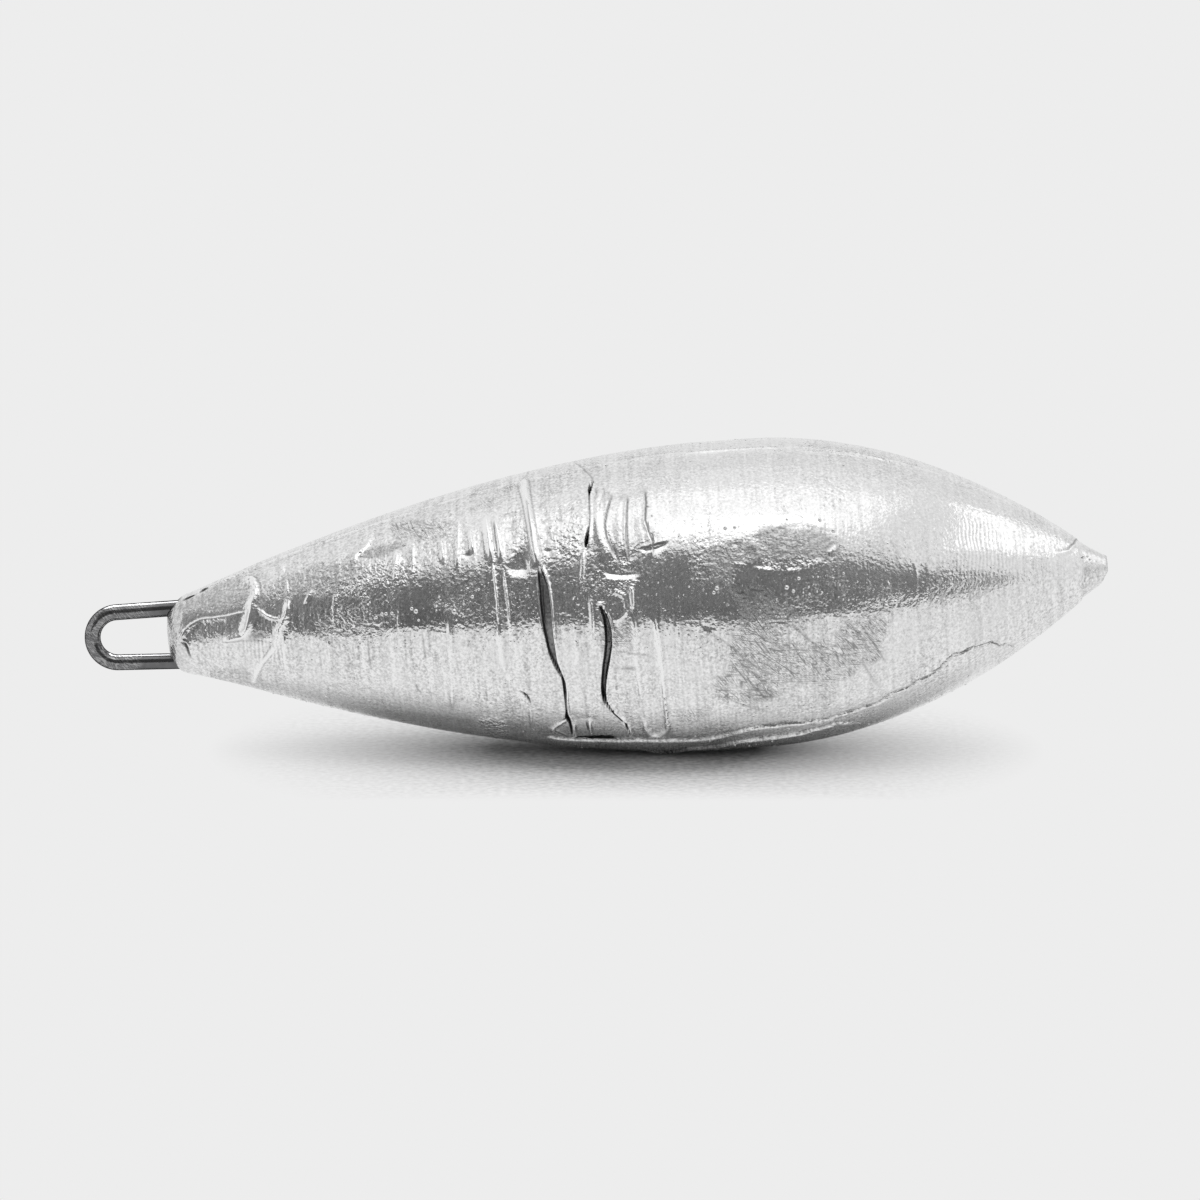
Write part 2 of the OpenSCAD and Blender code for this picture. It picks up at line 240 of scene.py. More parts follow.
# Crumpled, dented and dull spots: centre, half width and half height in pixels, roughness, how far
# it is dented, and dullness, which below nothing lightens the colour; the row at 792, 564 uses that to paint
# a highlight along the lower rim of the dull patch above it
SPOTS = [
    (376, 580, 52, 25, 1.2, 0.0, 0.0), (380, 551, 26, 8, 0.7, 0.0, 1.0),
    (316, 580, 62, 20, 0.9, 0.0, 0.7), (352, 616, 66, 14, 0.6, 0.0, 0.1),
    (798, 546, 56, 26, 0.55, 0.0, 1.0), (735, 555, 38, 16, 0.55, 0.0, 0.6),
    (792, 564, 46, 8, 1.5, 0.0, -1.3), (493, 730, 20, 7, 2.0, -0.3, -1.0),
    (516, 528, 14, 28, 0.8, 0.0, 0.0), (566, 528, 18, 36, 0.8, 0.0, 0.1),
    (616, 578, 28, 24, 1.0, 0.0, 0.1), (225, 594, 46, 18, 0.6, 0.0, 0.9),
    (242, 636, 34, 7, 0.2, 0.0, 0.9), (240, 679, 34, 12, 0.3, 0.0, 0.6),
    (711, 621, 10, 8, 1.0, 0.1, 0.1), (290, 620, 16, 12, 0.8, 0.0, 0.1),
    (715, 566, 34, 22, 0.5, 0.0, 0.3), (900, 600, 40, 8, 0.8, 0.0, 0.0),
    (760, 690, 22, 12, 0.5, 0.0, 0.5), (940, 583, 50, 10, 0.3, 0.0, 0.0),
    (1097, 560, 16, 20, 0.1, 0.0, 0.35), (628, 541, 30, 21, 0.2, 0.25, 0.0),
    (840, 450, 60, 10, 0.6, 0.0, 0.05), (790, 704, 60, 12, 0.2, 0.0, 0.25),
    (800, 590, 110, 18, 0.45, 0.0, 0.2), (561, 728, 11, 7, 0.1, 0.0, 0.2),
    (581, 727, 9, 9, 0.1, 0.0, 0.2), (611, 727, 20, 9, 0.1, 0.0, 0.2), (652, 726, 17, 9, 0.1, 0.0, 0.2),
    (176, 632, 12, 26, 0.4, 0.0, 0.3), (486, 600, 60, 18, 0.7, 0.0, 0.1),
    (576, 598, 34, 26, 0.6, 0.0, 0.1), (690, 588, 50, 22, 0.5, 0.0, 0.15),
]
# A spot between the folds that has few wrinkles: centre, half width and half height in pixels
SMOOTH_SPOT = (628, 520, 38, 38)
# A spot rougher than this gets a finer mesh
FINE_ROUGHNESS = 1.5
# Single beads of lead: centre and width in pixels
BEAD_SPOTS = [
    (456, 611.5, 6), (383, 613, 4), (388, 612.5, 4), (393, 613, 4), (377, 616, 4), (414, 607, 4),
    (417, 610, 5), (420, 620, 3), (889, 605, 6), (893, 602, 5), (898, 600, 5), (886, 600, 4),
    (903, 603, 4), (667, 696, 4), (668, 702, 4), (668.5, 709, 4), (669, 716, 4), (669.5, 722, 4),
    (1084, 556, 4), (1088, 555, 3), (1090, 558, 3), (474, 596, 4), (481, 590, 3), (466, 604, 3),
    (441, 598, 3), (447, 606, 3), (494, 612, 3), (720, 586, 5), (716, 590, 4), (790, 588, 5),
    (796, 590, 4), (800, 577, 4), (812, 592, 3), (834, 530, 4), (822, 519, 4), (728, 526, 4),
    (735, 527, 4), (766, 560, 4), (772, 563, 4), (781, 566, 4), (842, 545, 4),
]
# Scuffed spots: centre, half width and half height in pixels
SCUFFS = [(786, 666, 110, 54), (866, 642, 52, 38)]
# Places where the marks of the turning tool show, in the same form
TOOLED = [(262, 648, 38, 14), (985, 548, 46, 42)]
# The laps: line, height as a share of the lap height, and in millimetres how far the sheet sinks back
# and how deep the gap at its foot is
LAPS = [(LONG_LAP, 0.6, 3.2, 0.5), (LOW_LAP, 1.0, 2.2, 0.25)]
# Wrinkles: how long they are along the casting and round it in millimetres, and their height as a
# share of the wrinkle height
WRINKLES = [(0.7, 9.0, 1.0), (1.6, 14.0, 1.2), (0.45, 4.0, 0.5)]
# What each point of the skin holds for the finish: how dark the painted shade in its cracks, gaps and
# grooves makes it, how dull, how much scratched, how strongly its mottling shows, how rough it is, and how
# strongly the tool's marks show
SKIN_LAYERS = ("crack", "dull", "scuff", "wear", "rough", "tooled")
# Seeds of the chance numbers that don't follow the seed setting
SEAM_WANDER_SEED = 11
SEAM_HEIGHT_SEED = 12
LAP_JAG_SEED = 21
LAP_HEIGHT_SEED = 22
LAP_GAP_SEED = 23
LAP_FINE_JAG_SEED = 25
SPOT_EDGE_SEED = 41
# Chooses every point of the skin
ALL = slice(None)
# How many chance numbers a lattice draws on, and the primes that spread its corners over them
CHANCE_COUNT = 4096
LATTICE_PRIMES = (73856093, 19349663, 83492791)

# Zones of the casting's mesh: how far each goes, and the spacing of its lines. Rings go along the
# casting, in millimetres, and lines go round it, in degrees from the lowest one. On the far side
# every second ring is left out.
RING_ZONES = [(1.8, 0.15), (30, 0.2), (52, 0.17), (84, 0.31), (93.7, 0.22)]
LINE_ZONES = [(9, 2.6), (16, 1.5), (180, 5.0), (190, 1.8), (352, 1.5), (360, 2.2)]
FAR_SIDE = (30.0, 180.0)
# Rings that close each end, and how many times the mesh is made finer across the fine lines
END_RINGS = 4
REFINE_LEVELS = 2
# Nearer the table than this, in metres, the skin has no scattered beads
BEADLESS_HEIGHT = 0.0008
# Steps along a leg of the wire, round the bend before its anchor and round the eye, and the wire's sides
LEG_STEPS = 24
BEND_STEPS = 8
EYE_STEPS = 40
WIRE_SIDES = 28

# The softboxes, in metres: name, setting of its brightness, centre, the point it faces, width, depth
SOFTBOXES = [
    ("key", "key_light", (0.01, 0.02, 0.30), (0.01, 0.02, 0.0), 0.46, 0.29),
    ("box_overhead", "box_light", (0.01, -0.07, 0.31), (0.01, -0.07, 0.0), 0.34, 0.42),
    ("box_middle", "middle_light", (0.01, -0.10, 0.305), (0.01, -0.10, 0.0), 0.32, 0.24),
    ("box_core", "core_light", (0.018, -0.095, 0.30), (0.018, -0.095, 0.0), 0.13, 0.20),
    ("box_side", "side_light", (0.431, -0.02, 0.33), (0.431, -0.02, 0.0), 0.225, 0.44),
    ("wire_strip", "strip_light", (-0.05, 0.13, 0.27), (-0.045, 0.0, 0.012), 0.30, 0.15),
]
TABLE_SIDE = 6.0
# The point of the table that the clear part round the sinker lies about
CLEAR_CENTRE = (0.003, 0.0, 0.0)
# The dark card that stands round the front, in metres: a point of its foot, the point of its top
# edge above that, and its shades at the two. It glows and is seen only in the metal's reflections, where its
# shades paint the dark reflected band
CARD_POSTS = [
    ((-0.090, -0.065, 0), (-0.163, 0.031, 0.190), 0.26, 0.40),
    ((-0.086, -0.072, 0), (-0.165, -0.034, 0.187), 0.21, 0.35),
    ((-0.092, -0.091, 0), (-0.165, -0.075, 0.186), 0.18, 0.30),
    ((-0.098, -0.124, 0), (-0.166, -0.121, 0.199), 0.14, 0.24),
    ((-0.100, -0.160, 0), (-0.150, -0.150, 0.202), 0.12, 0.20),
    ((-0.067, -0.140, 0), (-0.121, -0.162, 0.194), 0.12, 0.19),
    ((-0.048, -0.142, 0), (-0.091, -0.168, 0.187), 0.15, 0.21),
    ((-0.032, -0.136, 0), (-0.060, -0.141, 0.172), 0.17, 0.22),
    ((-0.017, -0.128, 0), (-0.038, -0.141, 0.166), 0.18, 0.22),
    ((0.004, -0.098, 0), (-0.004, -0.108, 0.114), 0.16, 0.20),
    ((0.015, -0.087, 0), (0.010, -0.096, 0.097), 0.15, 0.19),
    ((0.033, -0.101, 0), (0.035, -0.111, 0.099), 0.16, 0.21),
    ((0.065, -0.108, 0), (0.072, -0.119, 0.095), 0.16, 0.24),
    ((0.089, -0.104, 0), (0.100, -0.114, 0.089), 0.17, 0.25),
    ((0.157, -0.141, 0), (0.168, -0.155, 0.092), 0.15, 0.24),
    ((0.232, -0.200, 0), (0.234, -0.200, 0.103), 0.15, 0.26),
    ((0.290, -0.202, 0), (0.296, -0.202, 0.096), 0.17, 0.34),
    ((0.300, -0.176, 0.008), (0.300, -0.176, 0.086), 0.20, 0.42),
    ((0.300, -0.152, 0.012), (0.300, -0.152, 0.076), 0.32, 0.54),
    ((0.300, -0.133, 0.018), (0.300, -0.133, 0.056), 0.60, 0.76),
]


class CastingSettings(bpy.types.PropertyGroup):
    """Sizes of the lead casting."""

    length: FloatProperty(name="Length", description="From the tail face to the tip of the nose",
                          default=93.7 * MM, min=0.05, unit="LENGTH")
    belly_diameter: FloatProperty(name="Belly diameter", description="Where the casting is fattest",
                                  default=CASTING_BOX[1][1] - CASTING_BOX[0][1], min=0.01,
                                  unit="LENGTH")
    belly_start: FloatProperty(name="Belly start", description="From the tail face to the belly",
                               default=53.5 * MM, min=0.02, unit="LENGTH")
    belly_run: FloatProperty(name="Belly run",
                             description="Length of the straight stretch at the belly", default=5 * MM,
                             min=0.0, unit="LENGTH")
    tail_diameter: FloatProperty(name="Tail diameter",
                                 description="Where the tail curve meets the tail face",
                                 default=6.2 * MM, min=0.002, unit="LENGTH")
    tail_flat: FloatProperty(name="Tail flat", description="Diameter of the flat on the tail face",
                             default=3.6 * MM, min=0.001, unit="LENGTH")
    tail_round: FloatProperty(name="Tail round",
                              description="Depth of the rounded edge of the tail face",
                              default=1.8 * MM, min=0.0005, unit="LENGTH")
    tail_power: FloatProperty(name="Tail power", description="How early the tail fills out",
                              default=1.71)
    nose_power: FloatProperty(name="Nose power", description="How blunt the nose is", default=2.0)
    shoulder_diameter: FloatProperty(name="Shoulder diameter", description="Behind the tip",
                                     default=6.2 * MM, min=0.002, unit="LENGTH")
    shoulder_step: FloatProperty(name="Shoulder step", description="Width of the ledge behind the tip",
                                 default=0.25 * MM, min=0.0, unit="LENGTH")
    tip_length: FloatProperty(name="Tip length", description="In front of the shoulder",
                              default=2.7 * MM, min=0.0005, unit="LENGTH")
    tip_diameter: FloatProperty(name="Tip diameter", description="At the very end", default=2.4 * MM,
                                min=0.0005, unit="LENGTH")
    nip_angle: FloatProperty(name="Nip angle",
                             description="Slope of the face that the cutter left on the tip",
                             default=math.radians(28), subtype="ANGLE")
    rest_tilt: FloatProperty(name="Rest tilt", description="How far the nose is raised at rest",
                             default=math.radians(4.09), subtype="ANGLE")


class MarkSettings(bpy.types.PropertyGroup):
    """Sizes of the marks that casting left on the skin."""

    seam_height: FloatProperty(name="Parting ridge",
                               description="Height of the ridge at the mould's parting line",
                               default=0.2 * MM, unit="LENGTH")
    seam_angle: FloatProperty(name="Parting lean", description="Lean of the mould's parting plane",
                              default=math.radians(12.5), subtype="ANGLE")
    lap_height: FloatProperty(name="Lap height", description="Height of the lips of the lapped sheets",
                              default=0.3 * MM, unit="LENGTH")
    crack_depth: FloatProperty(name="Crack depth", description="Depth of the cold cracks",
                               default=1.1 * MM, unit="LENGTH")
    fold_height: FloatProperty(name="Fold height", description="Height of the folds beside the cracks",
                               default=0.22 * MM, unit="LENGTH")
    wrinkle_height: FloatProperty(name="Wrinkle height",
                                  description="Height of the fine wrinkles round the tail",
                                  default=0.045 * MM, unit="LENGTH")
    swell_height: FloatProperty(name="Swell height",
                                description="Height of the shallow swells of the skin",
                                default=0.06 * MM, unit="LENGTH")
    tail_swell: FloatProperty(name="Tail swell",
                              description="How far the tail end swells out, most of all below",
                              default=0.6 * MM, unit="LENGTH")
    seed: IntProperty(name="Seed", description="Chooses the chance marks", default=7)


class WireSettings(bpy.types.PropertyGroup):
    """Sizes of the wire hairpin."""

    diameter: FloatProperty(name="Wire diameter", description="Thickness of the wire",
                            default=WIRE_BOX[1][1] - WIRE_BOX[0][1], min=0.0005, unit="LENGTH")
    eye_gap: FloatProperty(name="Eye gap", description="Inside width of the eye", default=3.5 * MM,
                           unit="LENGTH")
    eye_reach: FloatProperty(name="Eye reach", description="How far the eye stands out of the tail",
                             default=8.8 * MM, unit="LENGTH")
    leg_depth: FloatProperty(name="Leg depth", description="Length of each leg inside the lead",
                             default=30 * MM, unit="LENGTH")
    leg_spread: FloatProperty(name="Leg spread", description="How far the lower leg spreads",
                              default=math.radians(2.8), subtype="ANGLE")
    anchor_bend: FloatProperty(name="Anchor bend",
                               description="Inside radius of the bend before each anchor",
                               default=1.8 * MM, unit="LENGTH")
    anchor_length: FloatProperty(name="Anchor length", description="Straight length of each anchor",
                                 default=2.5 * MM, unit="LENGTH")


class BeadSettings(bpy.types.PropertyGroup):
    """The small beads of lead that stand out of the skin."""

    radius: FloatProperty(name="Bead radius", description="Radius of the largest bead",
                          default=0.17 * MM, unit="LENGTH")
    density: FloatProperty(name="Bead density", description="Beads on each square metre of skin",
                           default=300000.0)
    seed: IntProperty(name="Seed", description="Chooses where the beads lie", default=3)


class FinishSettings(bpy.types.PropertyGroup):
    """Colours of the metals."""

    lead_color: FloatVectorProperty(name="Lead", description="Colour of bright cast lead",
                                    subtype="COLOR", size=4, default=(0.96, 0.96, 0.96, 1.0))
    dull_color: FloatVectorProperty(name="Dull lead", description="Colour of dulled lead",
                                    subtype="COLOR", size=4, default=(0.5, 0.5, 0.5, 1.0))
    # Colour of the painted shade in cracks, gaps and grooves, which also darkens nicks and the dullest spots
    shade_and_wear_color: FloatVectorProperty(name="Cracks", description="Colour deep in the cracks",
                                     subtype="COLOR", size=4, default=(0.012, 0.012, 0.012, 1.0))
    wire_color: FloatVectorProperty(name="Wire", description="Colour of the steel wire",
                                    subtype="COLOR", size=4, default=(0.17, 0.17, 0.173, 1.0))
    wire_stain: FloatVectorProperty(name="Wire stain",
                                    description="Colour of the wire's darker patches", subtype="COLOR",
                                    size=4, default=(0.11, 0.11, 0.112, 1.0))
    # Colour of the painted shade along the wire's edges, where it turns away from the view
    wire_edge_shade: FloatVectorProperty(name="Wire rim", description="Colour of the wire where it turns away",
                                  subtype="COLOR", size=4, default=(0.03, 0.03, 0.03, 1.0))
    wire_nick: FloatVectorProperty(name="Wire nick", description="Colour of bare steel in a nick",
                                   subtype="COLOR", size=4, default=(0.6, 0.6, 0.6, 1.0))


class StageSettings(bpy.types.PropertyGroup):
    """The camera, the table and the lights."""

    view_elevation: FloatProperty(name="View elevation", description="How far the camera looks down",
                                  default=math.radians(10), subtype="ANGLE")
    view_distance: FloatProperty(name="View distance", description="From the camera to the sinker",
                                 default=0.667, unit="LENGTH")
    frame_width: FloatProperty(name="Frame width", description="Width of the picture at the sinker",
                               default=120 * MM, unit="LENGTH")
    backdrop: FloatVectorProperty(name="Backdrop", description="Colour of the pale background",
                                  subtype="COLOR", size=4, default=(0.847, 0.847, 0.847, 1.0))
    table_color: FloatVectorProperty(name="Table", description="Colour of the table", subtype="COLOR",
                                     size=4, default=(0.88, 0.88, 0.88, 1.0))
    table_fibre: FloatVectorProperty(name="Table fibre",
                                     description="Colour of the table's darker fibres", subtype="COLOR",
                                     size=4, default=(0.54, 0.54, 0.54, 1.0))
    sky_light: FloatProperty(name="Sky light", description="Strength of the light from all round",
                             default=0.33)
    key_light: FloatProperty(name="Key light",
                             description="Brightness of the light that casts the shadow", default=1.9)
    middle_light: FloatProperty(name="Middle light",
                                description="Extra brightness round the softbox's middle", default=0.24)
    box_light: FloatProperty(name="Box light", description="Brightness of the softbox overhead",
                             default=0.1)
    core_light: FloatProperty(name="Core light", description="Extra brightness in the softbox's middle",
                              default=0.85)
    side_light: FloatProperty(name="Side light", description="Brightness of the softbox at the side",
                              default=0.45)
    side_turn: FloatProperty(name="Side turn",
                             description="How far that softbox is turned about the vertical",
                             default=math.radians(30), subtype="ANGLE")
    strip_light: FloatProperty(name="Strip light",
                               description="Brightness of the strip that lights the wire", default=9.0)
    # The card's glow paints the dark band that the metal reflects
    card_light: FloatProperty(name="Card light", description="Brightness of the dark card in front",
                              default=1.0)
    fade_start: FloatProperty(name="Fade start",
                              description="Where the table starts to fade into the backdrop",
                              default=13 * MM, unit="LENGTH")
    mirror_start: FloatProperty(name="Mirror start",
                                description="The same, in the metal's mirror image of it",
                                default=25 * MM, unit="LENGTH")
    mirror_end: FloatProperty(name="Mirror end",
                              description="Where it has faded in the metal's mirror image",
                              default=44 * MM, unit="LENGTH")
    fade_end: FloatProperty(name="Fade end", description="Where the table has faded into the backdrop",
                            default=42 * MM, unit="LENGTH")


# Node trees

class Number:
    """A number inside a node tree. A formula written with it becomes Math nodes."""

    def __init__(self, tree, socket):
        self.tree = tree
        self.socket = socket

    def math(self, operation, *others):
        node = self.tree.nodes.new("ShaderNodeMath")
        node.operation = operation
        for place, value in zip(node.inputs, (self, *others)):
            plug(self.tree, value, place)
        return Number(self.tree, node.outputs[0])

    def __add__(self, other):
        return self.math("ADD", other)

    def __sub__(self, other):
        return self.math("SUBTRACT", other)

    def __mul__(self, other):
        return self.math("MULTIPLY", other)

    def __truediv__(self, other):
        return self.math("DIVIDE", other)

    def __pow__(self, other):
        return self.math("POWER", other)

    def __rsub__(self, other):
        return self * -1.0 + other

    def least(self, other):
        return self.math("MINIMUM", other)

    def most(self, other):
        return self.math("MAXIMUM", other)

    def share(self):
        """The same number, kept between 0 and 1."""
        return self.most(0.0).least(1.0)


def plug(tree, value, place):
    """Joins a value to a socket, or sets the socket to it."""
    if isinstance(value, Number):
        value = value.socket
    if isinstance(value, bpy.types.NodeSocket):
        tree.links.new(value, place)
    elif value is not None:
        place.default_value = value


def add(tree, kind, values=None, **settings):
    """Adds a node, with its settings and the values of its named or numbered sockets."""
    node = tree.nodes.new(kind)
    for name, value in settings.items():
        setattr(node, name, value)
    for name, value in (values or {}).items():
        plug(tree, value, node.inputs[name])
    return node


def mapped(tree, value, low, high, new_low=0.0, new_high=1.0):
    """A number spread from one range to another, and held at its ends."""
    node = add(tree, "ShaderNodeMapRange", {"Value": value, "From Min": low, "From Max": high,
                                            "To Min": new_low, "To Max": new_high})
    return Number(tree, node.outputs["Result"])


# Places of a Mix node's sockets when it mixes colours
MIX_SHARE = 0
MIX_FIRST = 6
MIX_SECOND = 7
MIX_RESULT = 2


def mixed(tree, share, first, second):
    """A colour between two colours."""
    node = add(tree, "ShaderNodeMix", data_type="RGBA")
    plug(tree, share, node.inputs[MIX_SHARE])
    plug(tree, first, node.inputs[MIX_FIRST])
    plug(tree, second, node.inputs[MIX_SECOND])
    return node.outputs[MIX_RESULT]


def noise(tree, place, scale, detail, roughness=0.5):
    """Chance numbers from 0 to 1, whose features get smaller as the scale grows."""
    node = add(tree, "ShaderNodeTexNoise", {"Vector": place, "Scale": scale, "Detail": detail,
                                            "Roughness": roughness})
    return Number(tree, node.outputs["Fac"])


def object_place(tree):
    """Where a point of a piece is, on the piece's own axes."""
    return add(tree, "ShaderNodeTexCoord").outputs["Object"]


def axis(tree, vector, name):
    """One of the three numbers of a vector."""
    return Number(tree, add(tree, "ShaderNodeSeparateXYZ", {0: vector}).outputs[name])


def turned_about_y(tree, vector, angle):
    """A place turned about the Y axis."""
    return add(tree, "ShaderNodeVectorRotate", {"Vector": vector, "Angle": angle},
               rotation_type="Y_AXIS").outputs[0]


def sockets(tree, way, kind, *names):
    """Gives a node tree named inputs or outputs of one kind."""
    for name in names:
        tree.interface.new_socket(name, in_out=way, socket_type="NodeSocket" + kind)


def inputs_of(tree):
    """The inputs of a node tree, by their names."""
    entry = tree.nodes.new("NodeGroupInput")
    return {socket.name: Number(tree, socket) for socket in entry.outputs if socket.name}


def spaced(tree, share, zones):
    """The place along a row of zones, each crossed in as many even steps as it needs."""
    steps = zone_steps(zones)
    total = sum(steps)
    done = 0
    start = 0.0
    place = None
    for (end, _), count in zip(zones, steps):
        part = mapped(tree, share, done / total, (done + count) / total, 0.0, end - start)
        place = part if place is None else place + part
        done += count
        start = end
    return place


def zone_steps(zones):
    """How many even steps each zone takes."""
    starts = [0.0] + [end for end, _ in zones[:-1]]
    return [max(1, round((end - start) / spacing)) for start, (end, spacing) in zip(starts, zones)]


# The turned shape of the casting

# The sizes of the casting that its outline follows
OUTLINE_SIZES = (
    "length", "belly_diameter", "belly_start", "belly_run", "tail_diameter", "tail_flat", "tail_round",
    "tail_power", "nose_power", "shoulder_diameter", "shoulder_step", "tip_length", "tip_diameter",
)
MERGE_DISTANCE = 1e-6


def turned_casting_tree(settings, material):
    """A node tree that turns the casting's outline round its axis, which lies along +X."""
    tree = bpy.data.node_groups.new("Turned Casting", "GeometryNodeTree")
    sizes = {name.replace("_", " ").title(): getattr(settings, name) for name in OUTLINE_SIZES}
    sockets(tree, "INPUT", "Float", *sizes)
    sockets(tree, "INPUT", "Int", "Rings", "Lines")
    sockets(tree, "INPUT", "Material", "Material")
    sockets(tree, "OUTPUT", "Geometry", "Geometry")
    given = inputs_of(tree)
    ring_steps = sum(zone_steps(RING_ZONES)) + 2 * END_RINGS

    sheet = add(tree, "GeometryNodeMeshGrid", {"Size X": 1.0, "Size Y": 1.0,
                                               "Vertices X": given["Rings"], "Vertices Y": given["Lines"]})
    place = tree.nodes.new("GeometryNodeInputPosition").outputs[0]
    along = axis(tree, place, "X") + 0.5
    around = axis(tree, place, "Y") + 0.5

    ring_share = END_RINGS / ring_steps
    turn = spaced(tree, around, LINE_ZONES)
    far = turn.math("GREATER_THAN", FAR_SIDE[0]) * turn.math("LESS_THAN", FAR_SIDE[1])
    odd = (along * (given["Rings"] - 1.0)).math("ROUND").math("MODULO", 2.0)
    along = along - far * odd / (given["Rings"] - 1.0)
    body_share = mapped(tree, along, ring_share, 1.0 - ring_share)
    reach = mapped(tree, along, 0.0, ring_share) * mapped(tree, along, 1.0, 1.0 - ring_share)
    station = spaced(tree, body_share, RING_ZONES) * (given["Length"] / RING_ZONES[-1][0])
    angle = turn * math.radians(1.0)

    shoulder = given["Length"] - given["Tip Length"]
    belly_end = given["Belly Start"] + given["Belly Run"]
    belly = given["Belly Diameter"] * 0.5
    tail = given["Tail Diameter"] * 0.5
    neck = given["Shoulder Diameter"] * 0.5
    flat = given["Tail Flat"] * 0.5
    left = 1.0 - (station / given["Belly Start"]).share()
    tail_curve = tail + (belly - tail) * (1.0 - left ** given["Tail Power"])
    nose_share = ((station - belly_end) / (shoulder - belly_end)).share()
    nose_curve = neck + (belly - neck) * (1.0 - nose_share ** given["Nose Power"])
    corner = (1.0 - (1.0 - (station / given["Tail Round"]).share()) ** 2.0) ** 0.5
    body = flat + (tail_curve.least(nose_curve) - flat) * corner
    step = neck - given["Shoulder Step"]
    tip = step + (given["Tip Diameter"] * 0.5 - step) * ((station - shoulder) / given["Tip Length"]).share()
    in_tip = station.math("GREATER_THAN", shoulder)
    radius = (body + (tip - body) * in_tip) * reach

    point = add(tree, "ShaderNodeCombineXYZ", {"X": station, "Y": radius * angle.math("SINE"),
                                               "Z": radius * angle.math("COSINE") * -1.0})
    turned = add(tree, "GeometryNodeSetPosition", {"Geometry": sheet.outputs["Mesh"],
                                                   "Position": point.outputs[0]})
    closed = add(tree, "GeometryNodeMergeByDistance", {"Geometry": turned.outputs[0],
                                                       "Distance": MERGE_DISTANCE})
    finish_tree(tree, closed.outputs[0], given["Material"])
    values = {**sizes, "Rings": ring_steps + ring_steps % 2 + 1, "Lines": sum(zone_steps(LINE_ZONES)) + 1,
              "Material": material}
    return tree, values


def finish_tree(tree, geometry, material):
    """Ends a node tree in real, smooth geometry with its material."""
    smooth_skin = add(tree, "GeometryNodeSetShadeSmooth", {"Geometry": geometry})
    real = add(tree, "GeometryNodeRealizeInstances", {"Geometry": smooth_skin.outputs[0]})
    coated = add(tree, "GeometryNodeSetMaterial", {"Geometry": real.outputs[0], "Material": material})
    tree.links.new(coated.outputs[0], tree.nodes.new("NodeGroupOutput").inputs[0])


def grown(source, tree, values, name):
    """A plain mesh made by a node tree on an object, which is then deleted."""
    modifier = source.modifiers.new("Growth", "NODES")
    modifier.node_group = tree
    for socket in tree.interface.items_tree:
        if socket.in_out == "INPUT" and socket.name in values:
            modifier[socket.identifier] = values[socket.name]
    depsgraph = bpy.context.evaluated_depsgraph_get()
    mesh = bpy.data.meshes.new_from_object(source.evaluated_get(depsgraph), depsgraph=depsgraph)
    mesh.name = name
    bpy.data.objects.remove(source)
    mesh.materials.clear()
    mesh.materials.append(values["Material"])
    mesh.polygons.foreach_set("material_index", [0] * len(mesh.polygons))
    return mesh


def linked(name, data):
    """A new object of the scene."""
    holder = bpy.data.objects.new(name, data)
    bpy.context.scene.collection.objects.link(holder)
    return holder


# The marks on the casting's skin. Heights and places here are in millimetres.

def smooth(share):
    """A share kept between 0 and 1, that leaves both ends gently."""
    share = np.clip(share, 0.0, 1.0)
    return share * share * (3.0 - 2.0 * share)


def lattice_noise(points, seed):
    """Smooth chance numbers from 0 to 1, one for each point, with features one unit across."""
    table = np.random.default_rng(seed).random(CHANCE_COUNT)
    cell = np.floor(points).astype(np.int64)
    part = points - cell
    part = part * part * (3.0 - 2.0 * part)
    total = np.zeros(len(points))
    for corner in range(8):
        step = np.array([corner & 1, corner >> 1 & 1, corner >> 2 & 1])
        x, y, z = ((cell + step) * LATTICE_PRIMES).T
        weight = np.prod(np.where(step == 1, part, 1.0 - part), axis=1)
        total += weight * table[(x ^ y ^ z) % CHANCE_COUNT]
    return total


def bell(distance, width):
    """A share that is 1 at no distance, and fades away over a width."""
    return np.exp(-(distance / width) ** 2)


def tapered(along, length, run, least=0.0):
    """A share that fades out over a run at both ends of a line."""
    return smooth(np.minimum(along, length - along) / run + least)


